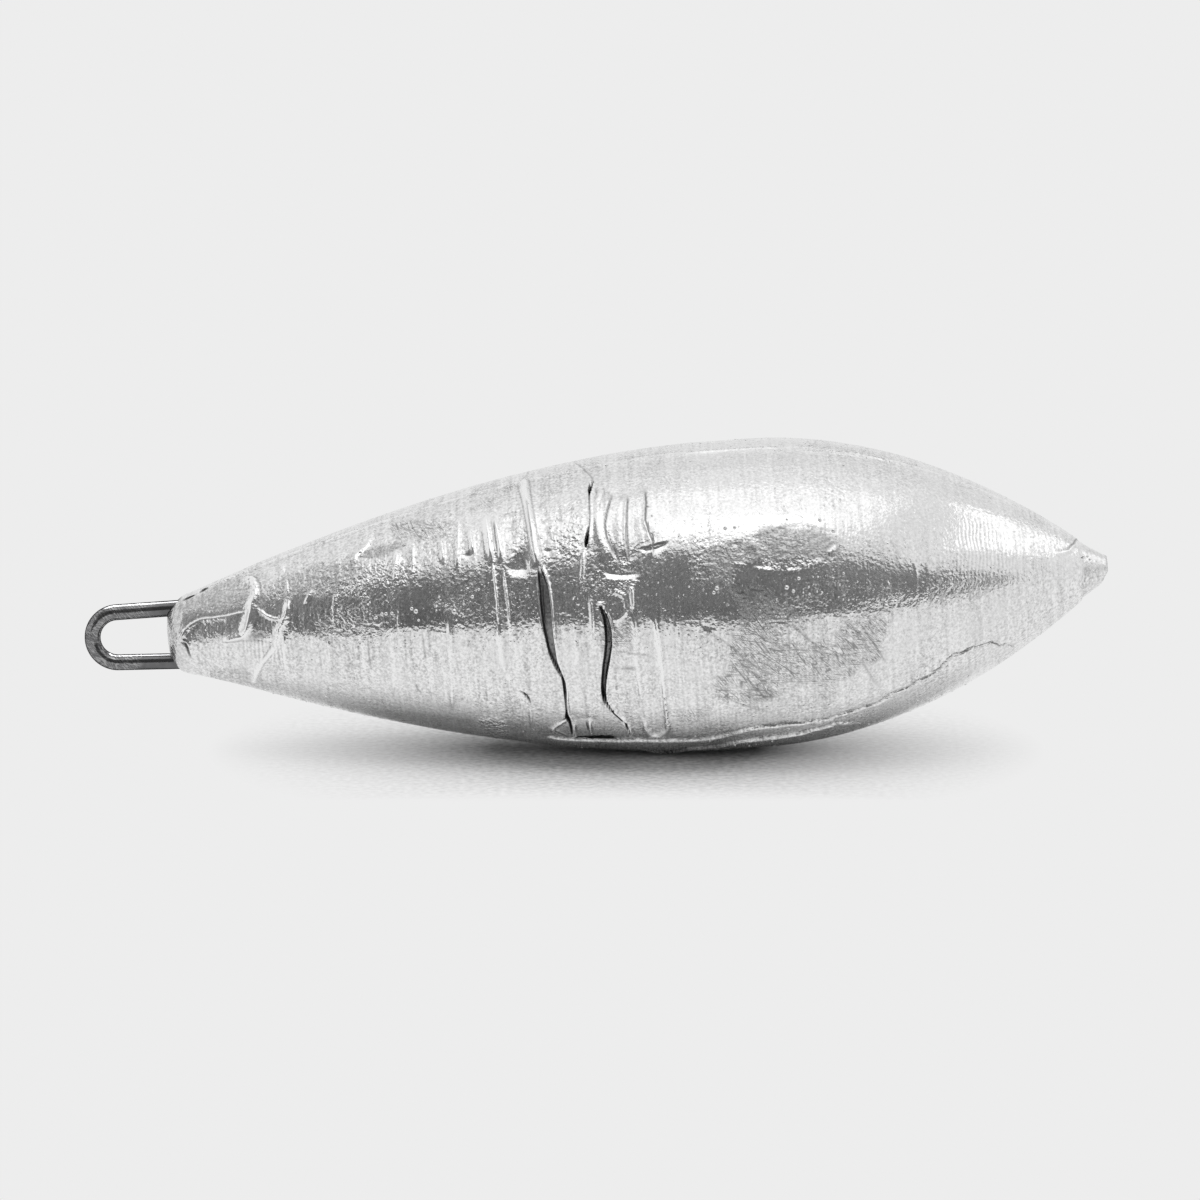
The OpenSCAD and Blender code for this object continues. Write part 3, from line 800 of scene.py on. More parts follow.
class Skin:
    """The casting's skin while it is marked: where each point is, how high it stands, how dark it is."""

    def __init__(self, mesh, stage):
        flat = np.empty(len(mesh.vertices) * 3)
        mesh.vertices.foreach_get("co", flat)
        place = flat.reshape(-1, 3) / MM
        self.place = place
        self.station = place[:, 0]
        self.radius = np.hypot(place[:, 1], place[:, 2])
        self.angle = np.degrees(np.arctan2(place[:, 1], -place[:, 2])) % 360.0
        order = np.argsort(self.station + self.radius * 1e-4)
        self.outline = np.maximum.accumulate(self.station[order]), self.radius[order]
        self.height = np.zeros(len(place))
        self.crack = np.zeros(len(place))
        self.dull = np.zeros(len(place))
        self.scuff = np.zeros(len(place))
        self.tooled = np.zeros(len(place))
        self.wear = np.ones(len(place))
        self.rough = np.zeros(len(place))
        self.wobble = 0.5 * (lattice_noise(place / 1.7, SPOT_EDGE_SEED) - 0.5)
        self.view_distance = stage.view_distance / MM
        self.view_elevation = math.degrees(stage.view_elevation)
        self.pixels = PHOTO_SIZE / (stage.frame_width / MM)

    def radius_at(self, station):
        """The plain casting's radius at a station."""
        return float(np.interp(station, *self.outline))

    def spot(self, pixel):
        """Where a point of the photograph lies on the skin: its station and its angle."""
        run = NOSE_PIXEL[0] - TAIL_PIXEL[0], NOSE_PIXEL[1] - TAIL_PIXEL[1]
        length = math.hypot(*run)
        along = run[0] / length, run[1] / length
        middle = PHOTO_SIZE / 2
        nearer = 1.0
        tries = 6
        steepest = 0.999
        for _ in range(tries):
            x = middle + (pixel[0] - middle) * nearer - TAIL_PIXEL[0]
            y = middle + (pixel[1] - middle) * nearer - TAIL_PIXEL[1]
            station = (x * along[0] + y * along[1]) / self.pixels
            rise = (x * along[1] - y * along[0]) / self.pixels
            radius = self.radius_at(station)
            lift = max(-steepest, min(steepest, rise / radius))
            nearer = 1.0 - radius * math.sqrt(1.0 - lift * lift) / self.view_distance
        return station, 180.0 + math.degrees(math.acos(lift)) - self.view_elevation

    def near(self, pixels, reach):
        """The points near a line: their numbers, how far beside and along it, its length, its widths.

        The side is positive towards the nose where the line runs down the photograph."""
        spots = np.array([self.spot(pixel) for pixel in pixels])
        widths = np.array([pixel[2] if len(pixel) > 2 else 1.0 for pixel in pixels]) / self.pixels
        per_degree = math.radians(1.0) * self.radius_at(spots[:, 0].mean())
        line = spots * (1.0, per_degree)
        points = np.column_stack((self.station, self.angle * per_degree))
        low = line.min(axis=0) - reach
        high = line.max(axis=0) + reach
        chosen = np.flatnonzero(((points > low) & (points < high)).all(axis=1))
        points = points[chosen]
        away = np.full(len(chosen), np.inf)
        side = np.zeros(len(chosen))
        along = np.zeros(len(chosen))
        width = np.zeros(len(chosen))
        done = 0.0
        for start, end, first, last in zip(line[:-1], line[1:], widths[:-1], widths[1:]):
            run = end - start
            length = float(np.hypot(*run))
            share = np.clip((points - start) @ run / (length * length), 0.0, 1.0)
            gap = points - start - share[:, None] * run
            distance = np.hypot(gap[:, 0], gap[:, 1])
            closer = distance < away
            away = np.where(closer, distance, away)
            turn = run[1] * gap[:, 0] - run[0] * gap[:, 1]
            side = np.where(closer, np.sign(turn) * distance, side)
            along = np.where(closer, done + share * length, along)
            width = np.where(closer, first + (last - first) * share, width)
            done += length
        return chosen, side, along, done, width

    def paint_highlight(self, chosen, share, highlight):
        """Paints a highlight on a mark's crest, lip or bar: lays the dullness aside and lightens the colour,
        by a share for each point.
        """
        self.dull[chosen] = self.dull[chosen] * (1.0 - share) - highlight * share

    def paint_shade(self, chosen, darkness):
        """Paints shade into a crack, gap or groove: makes the skin at least so dark there."""
        self.crack[chosen] = np.maximum(self.crack[chosen], darkness)

    def ridge(self, pixels, height, before, after):
        """A rounded ridge along a line. It slopes over two distances, towards the tail and the nose. Its
        crest gets a painted highlight.
        """
        chosen, side, along, length, _ = self.near(pixels, 3 * max(before, after) + 0.4)
        longest_taper = 1.6
        ends = tapered(along, length, min(longest_taper, length * 0.4), 0.15)
        crest = ends * bell(side, np.where(side < 0, before, after))
        self.height[chosen] += height * crest
        # Painted highlight along the crest
        self.paint_highlight(chosen, crest, 4.0 * height)

    def lap(self, pixels, height, run, foot_width=0.06):
        """The edge of a sheet on the tail's side of a line: a step that sinks back away from it, with a
        painted shadow along its foot.
        """
        step_width = 0.1
        foot_shade = 0.65
        chosen, side, along, length, _ = self.near(pixels, run * 4)
        ends = tapered(along, length, 1.0)
        back = np.maximum(-side, 0.0)
        self.height[chosen] += height * ends * smooth(0.5 - side / step_width / 2) * np.exp(-back / run)
        if height > 0:
            # Painted shadow at the foot of the step
            self.paint_shade(chosen, foot_shade * ends * bell(side - step_width * 0.7, foot_width))

    def split(self, pixels, depth, lip=0.0, floor=(0.5, 0.5), walls=(1.0, 1.0)):
        """An open crack along a line, as wide as the line says, with a lip on the nose's side.

        Painted shade darkens its floor, from one darkness to another along it, and each wall by its own
        darkness; a painted highlight lightens its lip."""
        least_half = 0.04
        wall_width = 0.055
        full_depth_width = 0.3
        full_dark_width = 0.2
        chosen, side, along, length, width = self.near(pixels, 2.0)
        ends = tapered(along, length, 0.5, 0.3)
        half = np.maximum(width * 0.5, least_half)
        inside = smooth((half - np.abs(side)) / 0.1 + 0.5)
        # Painted shade on the crack's walls and floor
        wall = bell(np.abs(side) - half, wall_width) * np.where(side < 0, *walls)
        dark = np.maximum(wall, inside * (floor[0] + (floor[1] - floor[0]) * along / length))
        from_lip = side - half - 0.13
        self.height[chosen] -= depth * ends * inside * np.minimum(1.0, width / full_depth_width)
        self.paint_shade(chosen, ends * dark * np.minimum(1.0, width / full_dark_width))
        self.height[chosen] += lip * ends * bell(from_lip, 0.14)
        # Painted highlight: the colour along the lip is lightened
        painted_rim = bell(from_lip, 0.1) * min(1.0, lip * 6.0)
        self.paint_highlight(chosen, ends * painted_rim, 0.8)

    def hairline(self, pixels):
        """A fine dark line, too narrow to show its depth, so its groove is darkened with painted shade."""
        width = 0.09
        depth = 0.04
        darkness = 0.4
        chosen, side, along, length, _ = self.near(pixels, 0.6)
        line = bell(side, width) * tapered(along, length, 0.8, 0.1)
        self.height[chosen] -= depth * line
        self.paint_shade(chosen, darkness * line)

    def notch(self, pixels, reach, depth):
        """A scoop that reaches up from a line, and rises again in a bright bar under it, whose colour is
        lightened as a painted highlight.
        """
        bar_slope = 0.5
        narrowest_bar = 0.05
        bar = depth / bar_slope
        chosen, side, along, length, _ = self.near(pixels, reach * 1.6 + bar)
        ends = tapered(along, length, 0.8)
        lip = np.maximum(bar * ends, narrowest_bar)
        above = smooth(1.0 - side / reach / 1.5)
        below = np.clip(1.0 + side / lip, 0.0, 1.0)
        scoop = np.where(side > 0, above, below)
        self.height[chosen] -= ends * depth * scoop
        # Painted highlight on the bar
        bright = smooth(ends * 3.0) * ((side < 0.0) & (side > -lip))
        self.paint_highlight(chosen, bright, 0.8)
        self.rough[chosen] *= 1.0 - np.maximum(bright, ends * scoop)

    def inside(self, x, y, half_width, half_height, soft=0.35):
        """How far inside a round spot of the photograph each point is, from 0 to 1."""
        centre = self.spot((x, y))
        right = self.spot((x + half_width, y))
        low = self.spot((x, y + half_height))
        across = (self.station - centre[0]) / (right[0] - centre[0])
        down = (self.angle - centre[1]) / (low[1] - centre[1])
        return smooth((1.0 - np.hypot(across, down) + self.wobble) / soft)

    def noise(self, along, around, seed):
        """Chance numbers with features of the given lengths along and round the casting."""
        return lattice_noise(self.place / (along, around, around), seed)

    def wander(self, along, seed):
        """Chance numbers that change only along the casting, with features of the given length."""
        none = np.zeros(len(self.place))
        return lattice_noise(np.column_stack((self.station / along, none, none)), seed)

    def past(self, station, run):
        """A share that grows from 0 at a station to 1 over a run towards the nose."""
        return smooth((self.station - station) / run)

    def before(self, station, run):
        """A share that falls to 0 at a station over a run, and is 1 towards the tail."""
        return smooth((station - self.station) / run)


def press_swells(skin, marks):
    """Shallow swells of the skin, in three sizes, and fine wrinkles."""
    seed = marks.seed
    swell = marks.swell_height / MM
    wrinkle = marks.wrinkle_height / MM
    on_tail = skin.before(56.0, 10.0)
    folded = skin.past(26.0, 6.0) * skin.before(52.0, 4.0)
    even = 1.0 - 0.85 * skin.inside(*SMOOTH_SPOT)
    skin.height += swell * 1.2 * (skin.noise(8.0, 9.0, seed) - 0.5)
    skin.height += swell * 0.3 * (skin.noise(2.4, 3.2, seed + 1) - 0.5)
    skin.height += swell * 0.15 * (0.4 + on_tail) * (skin.noise(0.9, 1.0, seed + 2) - 0.5)
    wrinkled = 0.1 + 0.7 * on_tail + 0.6 * folded
    for number, (along, around, share) in enumerate(WRINKLES):
        crease = 1.0 - np.abs(2.0 * skin.noise(along, around, seed + 10 + number) - 1.0)
        patch = smooth(2.4 * (skin.noise(4.0, 5.0, seed + 20 + number) - 0.45))
        skin.height += wrinkle * share * wrinkled * even * patch * crease ** 8


def press_spots(skin, marks):
    """Crumpled, dented and dull spots."""
    crumple_height = 0.05
    dent_depth = 0.3
    coarse = 0.6 * (skin.noise(1.1, 0.9, marks.seed + 50) - 0.5)
    for number, (x, y, half_width, half_height, rough, dent, dull) in enumerate(SPOTS):
        share = skin.inside(x, y, half_width, half_height)
        crumple = skin.noise(0.55, 0.5, marks.seed + 30 + number) - 0.5 + coarse
        skin.height += share * (crumple_height * rough * crumple - dent_depth * dent)
        skin.dull += dull * share
        skin.rough = np.maximum(skin.rough, rough * share)


def press_tail(skin, marks):
    """The tail end: a dull, uneven face on a puffed end that swells out most of all below."""
    face = skin.before(2.2, 1.2)
    skin.dull = np.maximum(skin.dull, 0.55 * face)
    skin.height += 0.05 * face * (skin.noise(0.4, 0.5, marks.seed + 60) - 0.5)
    lower = smooth(0.5 - skin.place[:, 2] / np.maximum(skin.radius, 0.1))
    skin.height += marks.tail_swell / MM * lower * np.exp(-skin.station / 3.0)


def press_wear(skin):
    """How strongly the grain shows, and the spots with scratches or marks of the turning tool."""
    nose = skin.past(38.0, 12.0)
    upper = smooth((300.0 - skin.angle) / 40.0)
    skin.wear = 1.0 - nose * 0.4 * upper
    for spot in SCUFFS:
        skin.scuff = np.maximum(skin.scuff, skin.inside(*spot, soft=0.9))
    for spot in TOOLED:
        skin.tooled = np.maximum(skin.tooled, skin.inside(*spot, soft=0.6))


def press_seam(skin, marks):
    """The ridge at the mould's parting line, along the top and along the bottom, with a painted highlight
    along its crest and darker, duller lines beside its foot.
    """
    height = marks.seam_height / MM
    lean = math.degrees(marks.seam_angle)
    crest_width = 0.22
    foot_away = 0.45
    foot_width = 0.16
    ends = skin.past(2.0, 4.0) * skin.before(90.5, 3.0)
    ends = ends * (1.0 - 0.6 * skin.past(72.0, 8.0))
    uneven = 0.5 + 0.8 * skin.noise(5.0, 9.0, SEAM_HEIGHT_SEED)
    wander = 1.2 * (skin.wander(5.0, SEAM_WANDER_SEED) - 0.5)
    for middle in (180.0 + lean, lean):
        away = np.radians(skin.angle - middle - wander) * skin.radius
        crest = ends * bell(away, crest_width)
        foot = ends * skin.before(64.0, 16.0) * bell(np.abs(away) - foot_away, foot_width)
        skin.height += height * uneven * crest
        # Painted highlight along the crest
        skin.paint_highlight(ALL, crest, 0.9)
        skin.dull += 0.45 * foot


def press_laps(skin, marks):
    """The sheets of lead that lapped over each other low on the front, with painted shade in the gaps at
    their feet.
    """
    height = marks.lap_height / MM
    gap_away = 0.14
    jag = 1.6 * (skin.wander(0.9, LAP_JAG_SEED) - 0.5)
    jag += 0.7 * (skin.wander(0.3, LAP_FINE_JAG_SEED) - 0.5)
    jagged = (0.06 + 0.19 * skin.past(54.0, 8.0)) * jag
    uneven = 0.5 + skin.noise(3.0, 20.0, LAP_HEIGHT_SEED)
    narrow = 0.55 + 1.3 * skin.before(66.0, 14.0)
    thin = 0.35 + 0.65 * skin.before(68.0, 8.0)
    for pixels, share, run, gap_depth in LAPS:
        spots = np.array([skin.spot(pixel) for pixel in pixels])
        path = np.interp(skin.station, spots[:, 0], spots[:, 1])
        down = np.radians(skin.angle - path) * skin.radius + jagged
        ends = skin.past(spots[0, 0], 2.0) * skin.before(spots[-1, 0], 2.0)
        ends = ends * (np.abs(skin.angle - path) < 60.0)
        sheet = smooth(down / 0.16 + 0.5) * np.exp(-np.maximum(down, 0.0) / run)
        gaping = smooth(3.0 * (skin.noise(4.0, 30.0, LAP_GAP_SEED) - 0.35))
        if pixels is LONG_LAP:
            gaping = np.maximum(gaping, skin.before(47.0, 2.0))
        skin.height += height * share * ends * uneven * thin * sheet
        skin.height -= gap_depth * ends * gaping * bell(down + gap_away, 0.1 * narrow)
        # Painted shade in the gap at each sheet's foot
        skin.paint_shade(ALL, ends * gaping * bell(down + gap_away, 0.09 * narrow))


def press_cracks(skin, marks):
    """The cold cracks round the middle and the small ones near them, each darkened with painted shade."""
    depth = marks.crack_depth / MM
    skin.split(CRACK_LEFT, depth * 0.6, lip=0.22, floor=(0.5, 0.95), walls=(1.0, 0.5))
    skin.split(CRACK_RIGHT_TOP, depth * 0.6, lip=0.1, floor=(1.0, 1.0))
    skin.split(CRACK_RIGHT, depth, lip=0.18, floor=(0.6, 0.9), walls=(1.0, 0.8))
    skin.split(BOTTOM_GAP, depth * 0.08, floor=(1.0, 1.0))
    for pixels in CRACKS_SMALL:
        skin.split(pixels, depth * 0.3, lip=0.06, floor=(1.0, 1.0))
    for pixels in FOLD_GAPS:
        skin.split(pixels, depth * 0.15, floor=(0.75, 0.75), walls=(0.4, 0.4))
    for pixels in HAIRLINES:
        skin.hairline(pixels)


def press_wire_holes(skin, wire):
    """The gap round each leg of the wire where it goes into the tail, darkened with painted shade."""
    lower_leg_drop = 0.4
    gap_width = 0.34
    gap_depth = 0.15
    radius = wire.diameter / 2 / MM
    eye = wire.eye_gap / 2 / MM + radius
    for middle in (eye, -eye - lower_leg_drop):
        away = np.hypot(skin.place[:, 1], skin.place[:, 2] - middle) - radius
        gap = smooth((gap_width - away) / 0.12) * skin.before(4.0, 1.0)
        skin.height -= gap_depth * gap
        # Painted shade in the gap
        skin.paint_shade(ALL, gap)


def press_folds(skin, marks):
    """The folds, ridges and scoops that the lead froze into."""
    fold = marks.fold_height / MM
    ridge_share = 0.75
    plate_drop = 0.6
    for share, run, pixels in LAP_EDGES:
        skin.lap(pixels, fold * share, run, foot_width=0.11)
    for share, before, after, pixels in RIDGES:
        skin.ridge(pixels, fold * share * ridge_share, before, after)
    for reach, depth, pixels in NOTCHES:
        skin.notch(pixels, reach, depth)
    skin.lap(PLATE_EDGE, -fold * plate_drop, 1.0)


def nip_tip(place, settings):
    """Cuts the lower side of the tip along the cutter's slanted face."""
    cut_top = -0.1
    drop = np.maximum(cut_top - place[:, 2], 0.0)
    face = settings.length / MM - drop * math.tan(settings.nip_angle)
    place[:, 0] = np.minimum(place[:, 0], face)


def lap_parts(pixels):
    """A lap's line in short parts that share their end points."""
    return [pixels[first:first + 4] for first in range(0, len(pixels) - 1, 3)]


def fine_lines(level):
    """The lines that need closer mesh lines across them, after how far to each side in millimetres."""
    sharp = [CRACK_LEFT, CRACK_RIGHT_TOP, CRACK_RIGHT, BOTTOM_GAP, *CRACKS_SMALL, *FOLD_GAPS]
    laps = lap_parts(LONG_LAP) + lap_parts(LOW_LAP)
    edges = [pixels for _, _, pixels in LAP_EDGES] + [pixels for _, _, pixels in NOTCHES]
    ridges = [pixels for _, _, _, pixels in RIDGES]
    if level == 0:
        return [(0.75, sharp), (0.55, laps), (0.5, edges), (0.45, ridges), (0.25, HAIRLINES)]
    return [(0.4, sharp), (0.25, laps), (0.2, edges), (0.18, ridges)]


def refine(mesh, stage, level):
    """Halves the mesh edges that cross a fine line, and those in the roughest spots."""
    skin = Skin(mesh, stage)
    ends = np.empty(len(mesh.edges) * 2, np.int32)
    mesh.edges.foreach_get("vertices", ends)
    ends = ends.reshape(-1, 2)
    length = np.linalg.norm(skin.place[ends[:, 0]] - skin.place[ends[:, 1]], axis=1)
    crossing = np.zeros(len(ends), bool)
    inside_share = 0.05
    crossing_share = 0.55
    if level == 0:
        for spot in SPOTS:
            if spot[4] > FINE_ROUGHNESS:
                within = skin.inside(*spot[:4]) > inside_share
                crossing |= within[ends[:, 0]] & within[ends[:, 1]]
    for reach, lines in fine_lines(level):
        for pixels in lines:
            side = np.full(len(skin.place), np.inf)
            chosen, offset, _, _, _ = skin.near(pixels, reach)
            side[chosen] = offset
            first = side[ends[:, 0]]
            second = side[ends[:, 1]]
            close = np.minimum(np.abs(first), np.abs(second)) < reach
            close &= np.isfinite(first) & np.isfinite(second)
            change = np.abs(np.where(close, first, 0.0) - np.where(close, second, 0.0))
            crossing |= close & (change > crossing_share * length)
    shape = bmesh.new()
    shape.from_mesh(mesh)
    shape.edges.ensure_lookup_table()
    chosen = [shape.edges[number] for number in np.flatnonzero(crossing)]
    bmesh.ops.subdivide_edges(shape, edges=chosen, cuts=1, use_grid_fill=True)
    shape.to_mesh(mesh)
    shape.free()


def pressed(mesh, settings, marks, wire, stage):
    """Moves the points of the turned casting to the heights of its marks, and lays it at rest."""
    skin = Skin(mesh, stage)
    press_swells(skin, marks)
    press_spots(skin, marks)
    press_tail(skin, marks)
    press_wear(skin)
    press_seam(skin, marks)
    press_laps(skin, marks)
    press_folds(skin, marks)
    press_cracks(skin, marks)
    press_wire_holes(skin, wire)
    place = raised(skin, settings, marks)
    nip_tip(place, settings)
    tilt = np.array(Matrix.Rotation(-settings.rest_tilt, 3, "Y")).T
    place = place @ tilt * MM
    plain = (skin.place @ tilt) * MM
    # The plain shape stays just above the table, and the raised marks under it are pressed flat
    lift = 0.02 * MM
    shift = np.array([CASTING_BOX[1][0] - plain[:, 0].max(), 0.0, lift - plain[:, 2].min()])
    place += shift
    place[:, 2] = np.maximum(place[:, 2], 0.0)
    mesh.vertices.foreach_set("co", place.ravel())
    for name in SKIN_LAYERS:
        layer = mesh.attributes.new(name, "FLOAT", "POINT")
        layer.data.foreach_set("value", getattr(skin, name))
    mesh.update()
    return shift, bead_places(skin, place)


def raised(skin, settings, marks):
    """The points of the skin, moved out square to it by their heights."""
    ends_in = 0.02
    slope = outline_slope(skin)
    steep = 1.0 / np.sqrt(1.0 + slope * slope)
    body = (skin.station > ends_in) & (skin.station < settings.length / MM - ends_in)
    out = skin.height * steep * (smooth(skin.station / 1.5) * body)
    turn = np.radians(skin.angle)
    place = skin.place.copy()
    place[:, 0] -= out * slope + 0.6 * marks.tail_swell / MM * skin.before(5.0, 5.0)
    place[:, 1] += out * np.sin(turn)
    place[:, 2] -= out * np.cos(turn)
    return place


def bead_places(skin, place):
    """A flat list of x, y, z and radius of each single bead, on the pressed skin."""
    places = []
    for x, y, width in BEAD_SPOTS:
        station, angle = skin.spot((x, y))
        away = np.hypot(skin.station - station, np.radians(skin.angle - angle) * skin.radius)
        places += [*place[np.argmin(away)], width / skin.pixels / 2 * MM]
    return places


def outline_slope(skin):
    """How fast the outline widens at each point's station."""
    step = 0.25
    steepest = 0.8
    ahead = np.interp(skin.station + step, *skin.outline)
    behind = np.interp(skin.station - step, *skin.outline)
    return np.clip((ahead - behind) / (2 * step), -steepest, steepest)


def face_outwards(mesh):
    """Turns every face outwards."""
    shape = bmesh.new()
    shape.from_mesh(mesh)
    bmesh.ops.recalc_face_normals(shape, faces=shape.faces)
    shape.to_mesh(mesh)
    shape.free()


# Finishes

# Directions of the scratches, turned from +X towards -Z, in radians
SCRATCH_TURNS = (-0.65, -0.95, -0.12)


def fine_grain_group():
    """Fine grain of a metal skin with small raised and sunk specks: its height in metres."""
    tree = bpy.data.node_groups.new("Fine Grain", "ShaderNodeTree")
    sockets(tree, "INPUT", "Float", "Grain Scale", "Grain Height", "Speck Scale", "Speck Height")
    sockets(tree, "OUTPUT", "Float", "Height")
    given = inputs_of(tree)
    place = object_place(tree)
    grain = noise(tree, place, given["Grain Scale"], 1.5)
    cells = add(tree, "ShaderNodeTexVoronoi", {"Vector": place, "Scale": given["Speck Scale"]})
    chance = add(tree, "ShaderNodeSeparateColor", {0: cells.outputs["Color"]})
    rare = mapped(tree, noise(tree, place, 150.0, 2.0), 0.3, 0.66, 0.9, 0.35)
    present = Number(tree, chance.outputs[0]).math("GREATER_THAN", rare)
    size = mapped(tree, chance.outputs[1], 0.0, 1.0, 0.16, 0.34)
    dome = (1.0 - Number(tree, cells.outputs["Distance"]) / size).share()
    dome = dome * dome * (3.0 - dome * 2.0) * present
    sign = mapped(tree, chance.outputs[2], 0.35, 0.45, -1.0, 1.0)
    height = (grain - 0.5) * given["Grain Height"] + dome * sign * given["Speck Height"]
    plug(tree, height, tree.nodes.new("NodeGroupOutput").inputs["Height"])
    return tree


def scratches_group():
    """Fine straight scratches that cross each other in patches: a mask that is 1 in a scratch."""
    tree = bpy.data.node_groups.new("Scratches", "ShaderNodeTree")
    sockets(tree, "INPUT", "Float", "Length Scale", "Width Scale", "Amount")
    sockets(tree, "OUTPUT", "Float", "Mask")
    given = inputs_of(tree)
    place = object_place(tree)
    lines_in_range = 7.0
    masks = None
    for turn in SCRATCH_TURNS:
        turned = turned_about_y(tree, place, turn)
        spread = add(tree, "ShaderNodeCombineXYZ", {
            "X": axis(tree, turned, "X") * given["Length Scale"],
            "Y": axis(tree, turned, "Y") * given["Length Scale"] + turn,
            "Z": axis(tree, turned, "Z") * given["Width Scale"],
        })
        level = (noise(tree, spread.outputs[0], 1.0, 0.0) * lines_in_range).math("FRACT")
        line = mapped(tree, (level - 0.5).math("ABSOLUTE"), 0.03, 0.11, 1.0, 0.0)
        masks = line if masks is None else masks.most(line)
    least = given["Amount"] * -0.3 + 0.7
    patch = mapped(tree, noise(tree, place, 110.0, 3.0), least, least + 0.08)
    plug(tree, masks * patch, tree.nodes.new("NodeGroupOutput").inputs["Mask"])
    return tree


def turned_rings_group():
    """Fine rings that a turning tool left, round an axis near +X: their height in metres."""
    tree = bpy.data.node_groups.new("Turned Rings", "ShaderNodeTree")
    sockets(tree, "INPUT", "Float", "Tilt", "Period", "Height", "Amount")
    sockets(tree, "OUTPUT", "Float", "Height")
    given = inputs_of(tree)
    place = object_place(tree)
    along = axis(tree, turned_about_y(tree, place, given["Tilt"]), "X")
    phase = along / given["Period"] + noise(tree, place, 260.0, 2.0) * 2.5
    wave = (phase * (2.0 * math.pi)).math("SINE")
    patch = mapped(tree, noise(tree, place, 75.0, 2.0), 0.48, 0.66).most(given["Amount"] * 2.0)
    height = wave * patch * given["Height"]
    plug(tree, height, tree.nodes.new("NodeGroupOutput").inputs["Height"])
    return tree


def used(tree, group, **values):
    """The number that a node group puts out in a material, from its own values there."""
    node = tree.nodes.new("ShaderNodeGroup")
    node.node_tree = group
    for name, value in values.items():
        plug(tree, value, node.inputs[name.replace("_", " ").title()])
    return Number(tree, node.outputs[0])


def new_material(name):
    """An empty material, its tree and the node that its surface goes to."""
    material = bpy.data.materials.new(name)
    material.use_nodes = True
    tree = material.node_tree
    tree.nodes.clear()
    leave = tree.nodes.new("ShaderNodeOutputMaterial")
    return material, tree, leave


def cast_lead(finish, tilt, grain, scratches, rings):
    """Bright cast lead: grainy, scratched, dull in patches, with painted shade in its cracks, gaps and
    grooves.
    """
    material, tree, leave = new_material("Bright Cast Lead")
    place = object_place(tree)
    layers = [add(tree, "ShaderNodeAttribute", attribute_name=name) for name in SKIN_LAYERS]
    crack, dull, scuff, wear, rough, tooled = (Number(tree, layer.outputs["Fac"]) for layer in layers)
    fine = used(tree, grain, grain_scale=2600.0, grain_height=0.00005, speck_scale=2300.0,
                speck_height=0.000028)
    nicks = used(tree, scratches, length_scale=170.0, width_scale=2100.0, amount=scuff + 0.25)
    ridged = used(tree, rings, tilt=tilt, period=0.00038, height=0.000003, amount=tooled)
    clouds = noise(tree, place, 190.0, 5.0, 0.65)
    cloud = mapped(tree, clouds, 0.42, 0.68)
    mottle = noise(tree, place, 2200.0, 2.0, 0.7) - 0.5
    dusts = add(tree, "ShaderNodeTexNoise", {"Vector": place, "Scale": 4200.0, "Detail": 1.0})
    dust = Number(tree, dusts.outputs["Fac"]) - 0.5
    grit = mapped(tree, dusts.outputs["Color"], 0.56, 0.72)
    laid = turned_about_y(tree, place, tilt)
    drawn = add(tree, "ShaderNodeMapping", {"Vector": laid, "Scale": (1.0, 0.05, 0.05)})
    streak = noise(tree, drawn.outputs[0], 2600.0, 1.0) - 0.5

    # The colour, from bright lead to dull lead and then to the painted shade of the cracks, gaps and grooves
    tooling = ridged * 26000.0
    grime = mapped(tree, clouds, 0.35, 0.65, 0.55, 1.3)
    mottling = mottle * 1.2 + dust * 1.8 + streak * 0.9 + tooling * (tooled * 1.4 + 1.0)
    worn = mottling * grime * wear + dull * 0.5 + nicks * 0.6
    worn = worn + scuff * 0.08 + cloud * 0.1 + 0.33
    colour = mixed(tree, worn.share(), tuple(finish.lead_color), tuple(finish.dull_color))
    # Painted shade: the crack layer darkens the colour in cracks, gaps and grooves; the same dark colour
    # also darkens nicks and the dullest spots
    soot = ((dull - 1.0).most(0.0) * 0.9).most(nicks * 0.38)
    colour = mixed(tree, crack.most(soot).share(), colour, tuple(finish.shade_and_wear_color))
    roughness = cloud * 0.1 + grit * 0.4 + (mottle + streak).most(0.0) * 0.7 + dull.most(0.0) * 0.3
    roughness = roughness + nicks * 0.2 + crack * 0.4 + 0.08

    # The relief that is too fine for the mesh
    grain_share = mapped(tree, clouds, 0.4, 0.62, 0.5, 1.5)
    height = fine * grain_share * (rough * 2.2 + dull.most(0.0) + wear * 0.7 + 0.3)
    height = height + ridged - nicks * 0.000006
    bump = add(tree, "ShaderNodeBump", {"Height": height, "Distance": 1.0, "Strength": 1.0})
    metal = add(tree, "ShaderNodeBsdfPrincipled", {
        "Base Color": colour, "Metallic": 1.0, "Roughness": roughness, "Normal": bump.outputs[0],
    })
    tree.links.new(metal.outputs[0], leave.inputs["Surface"])
    return material


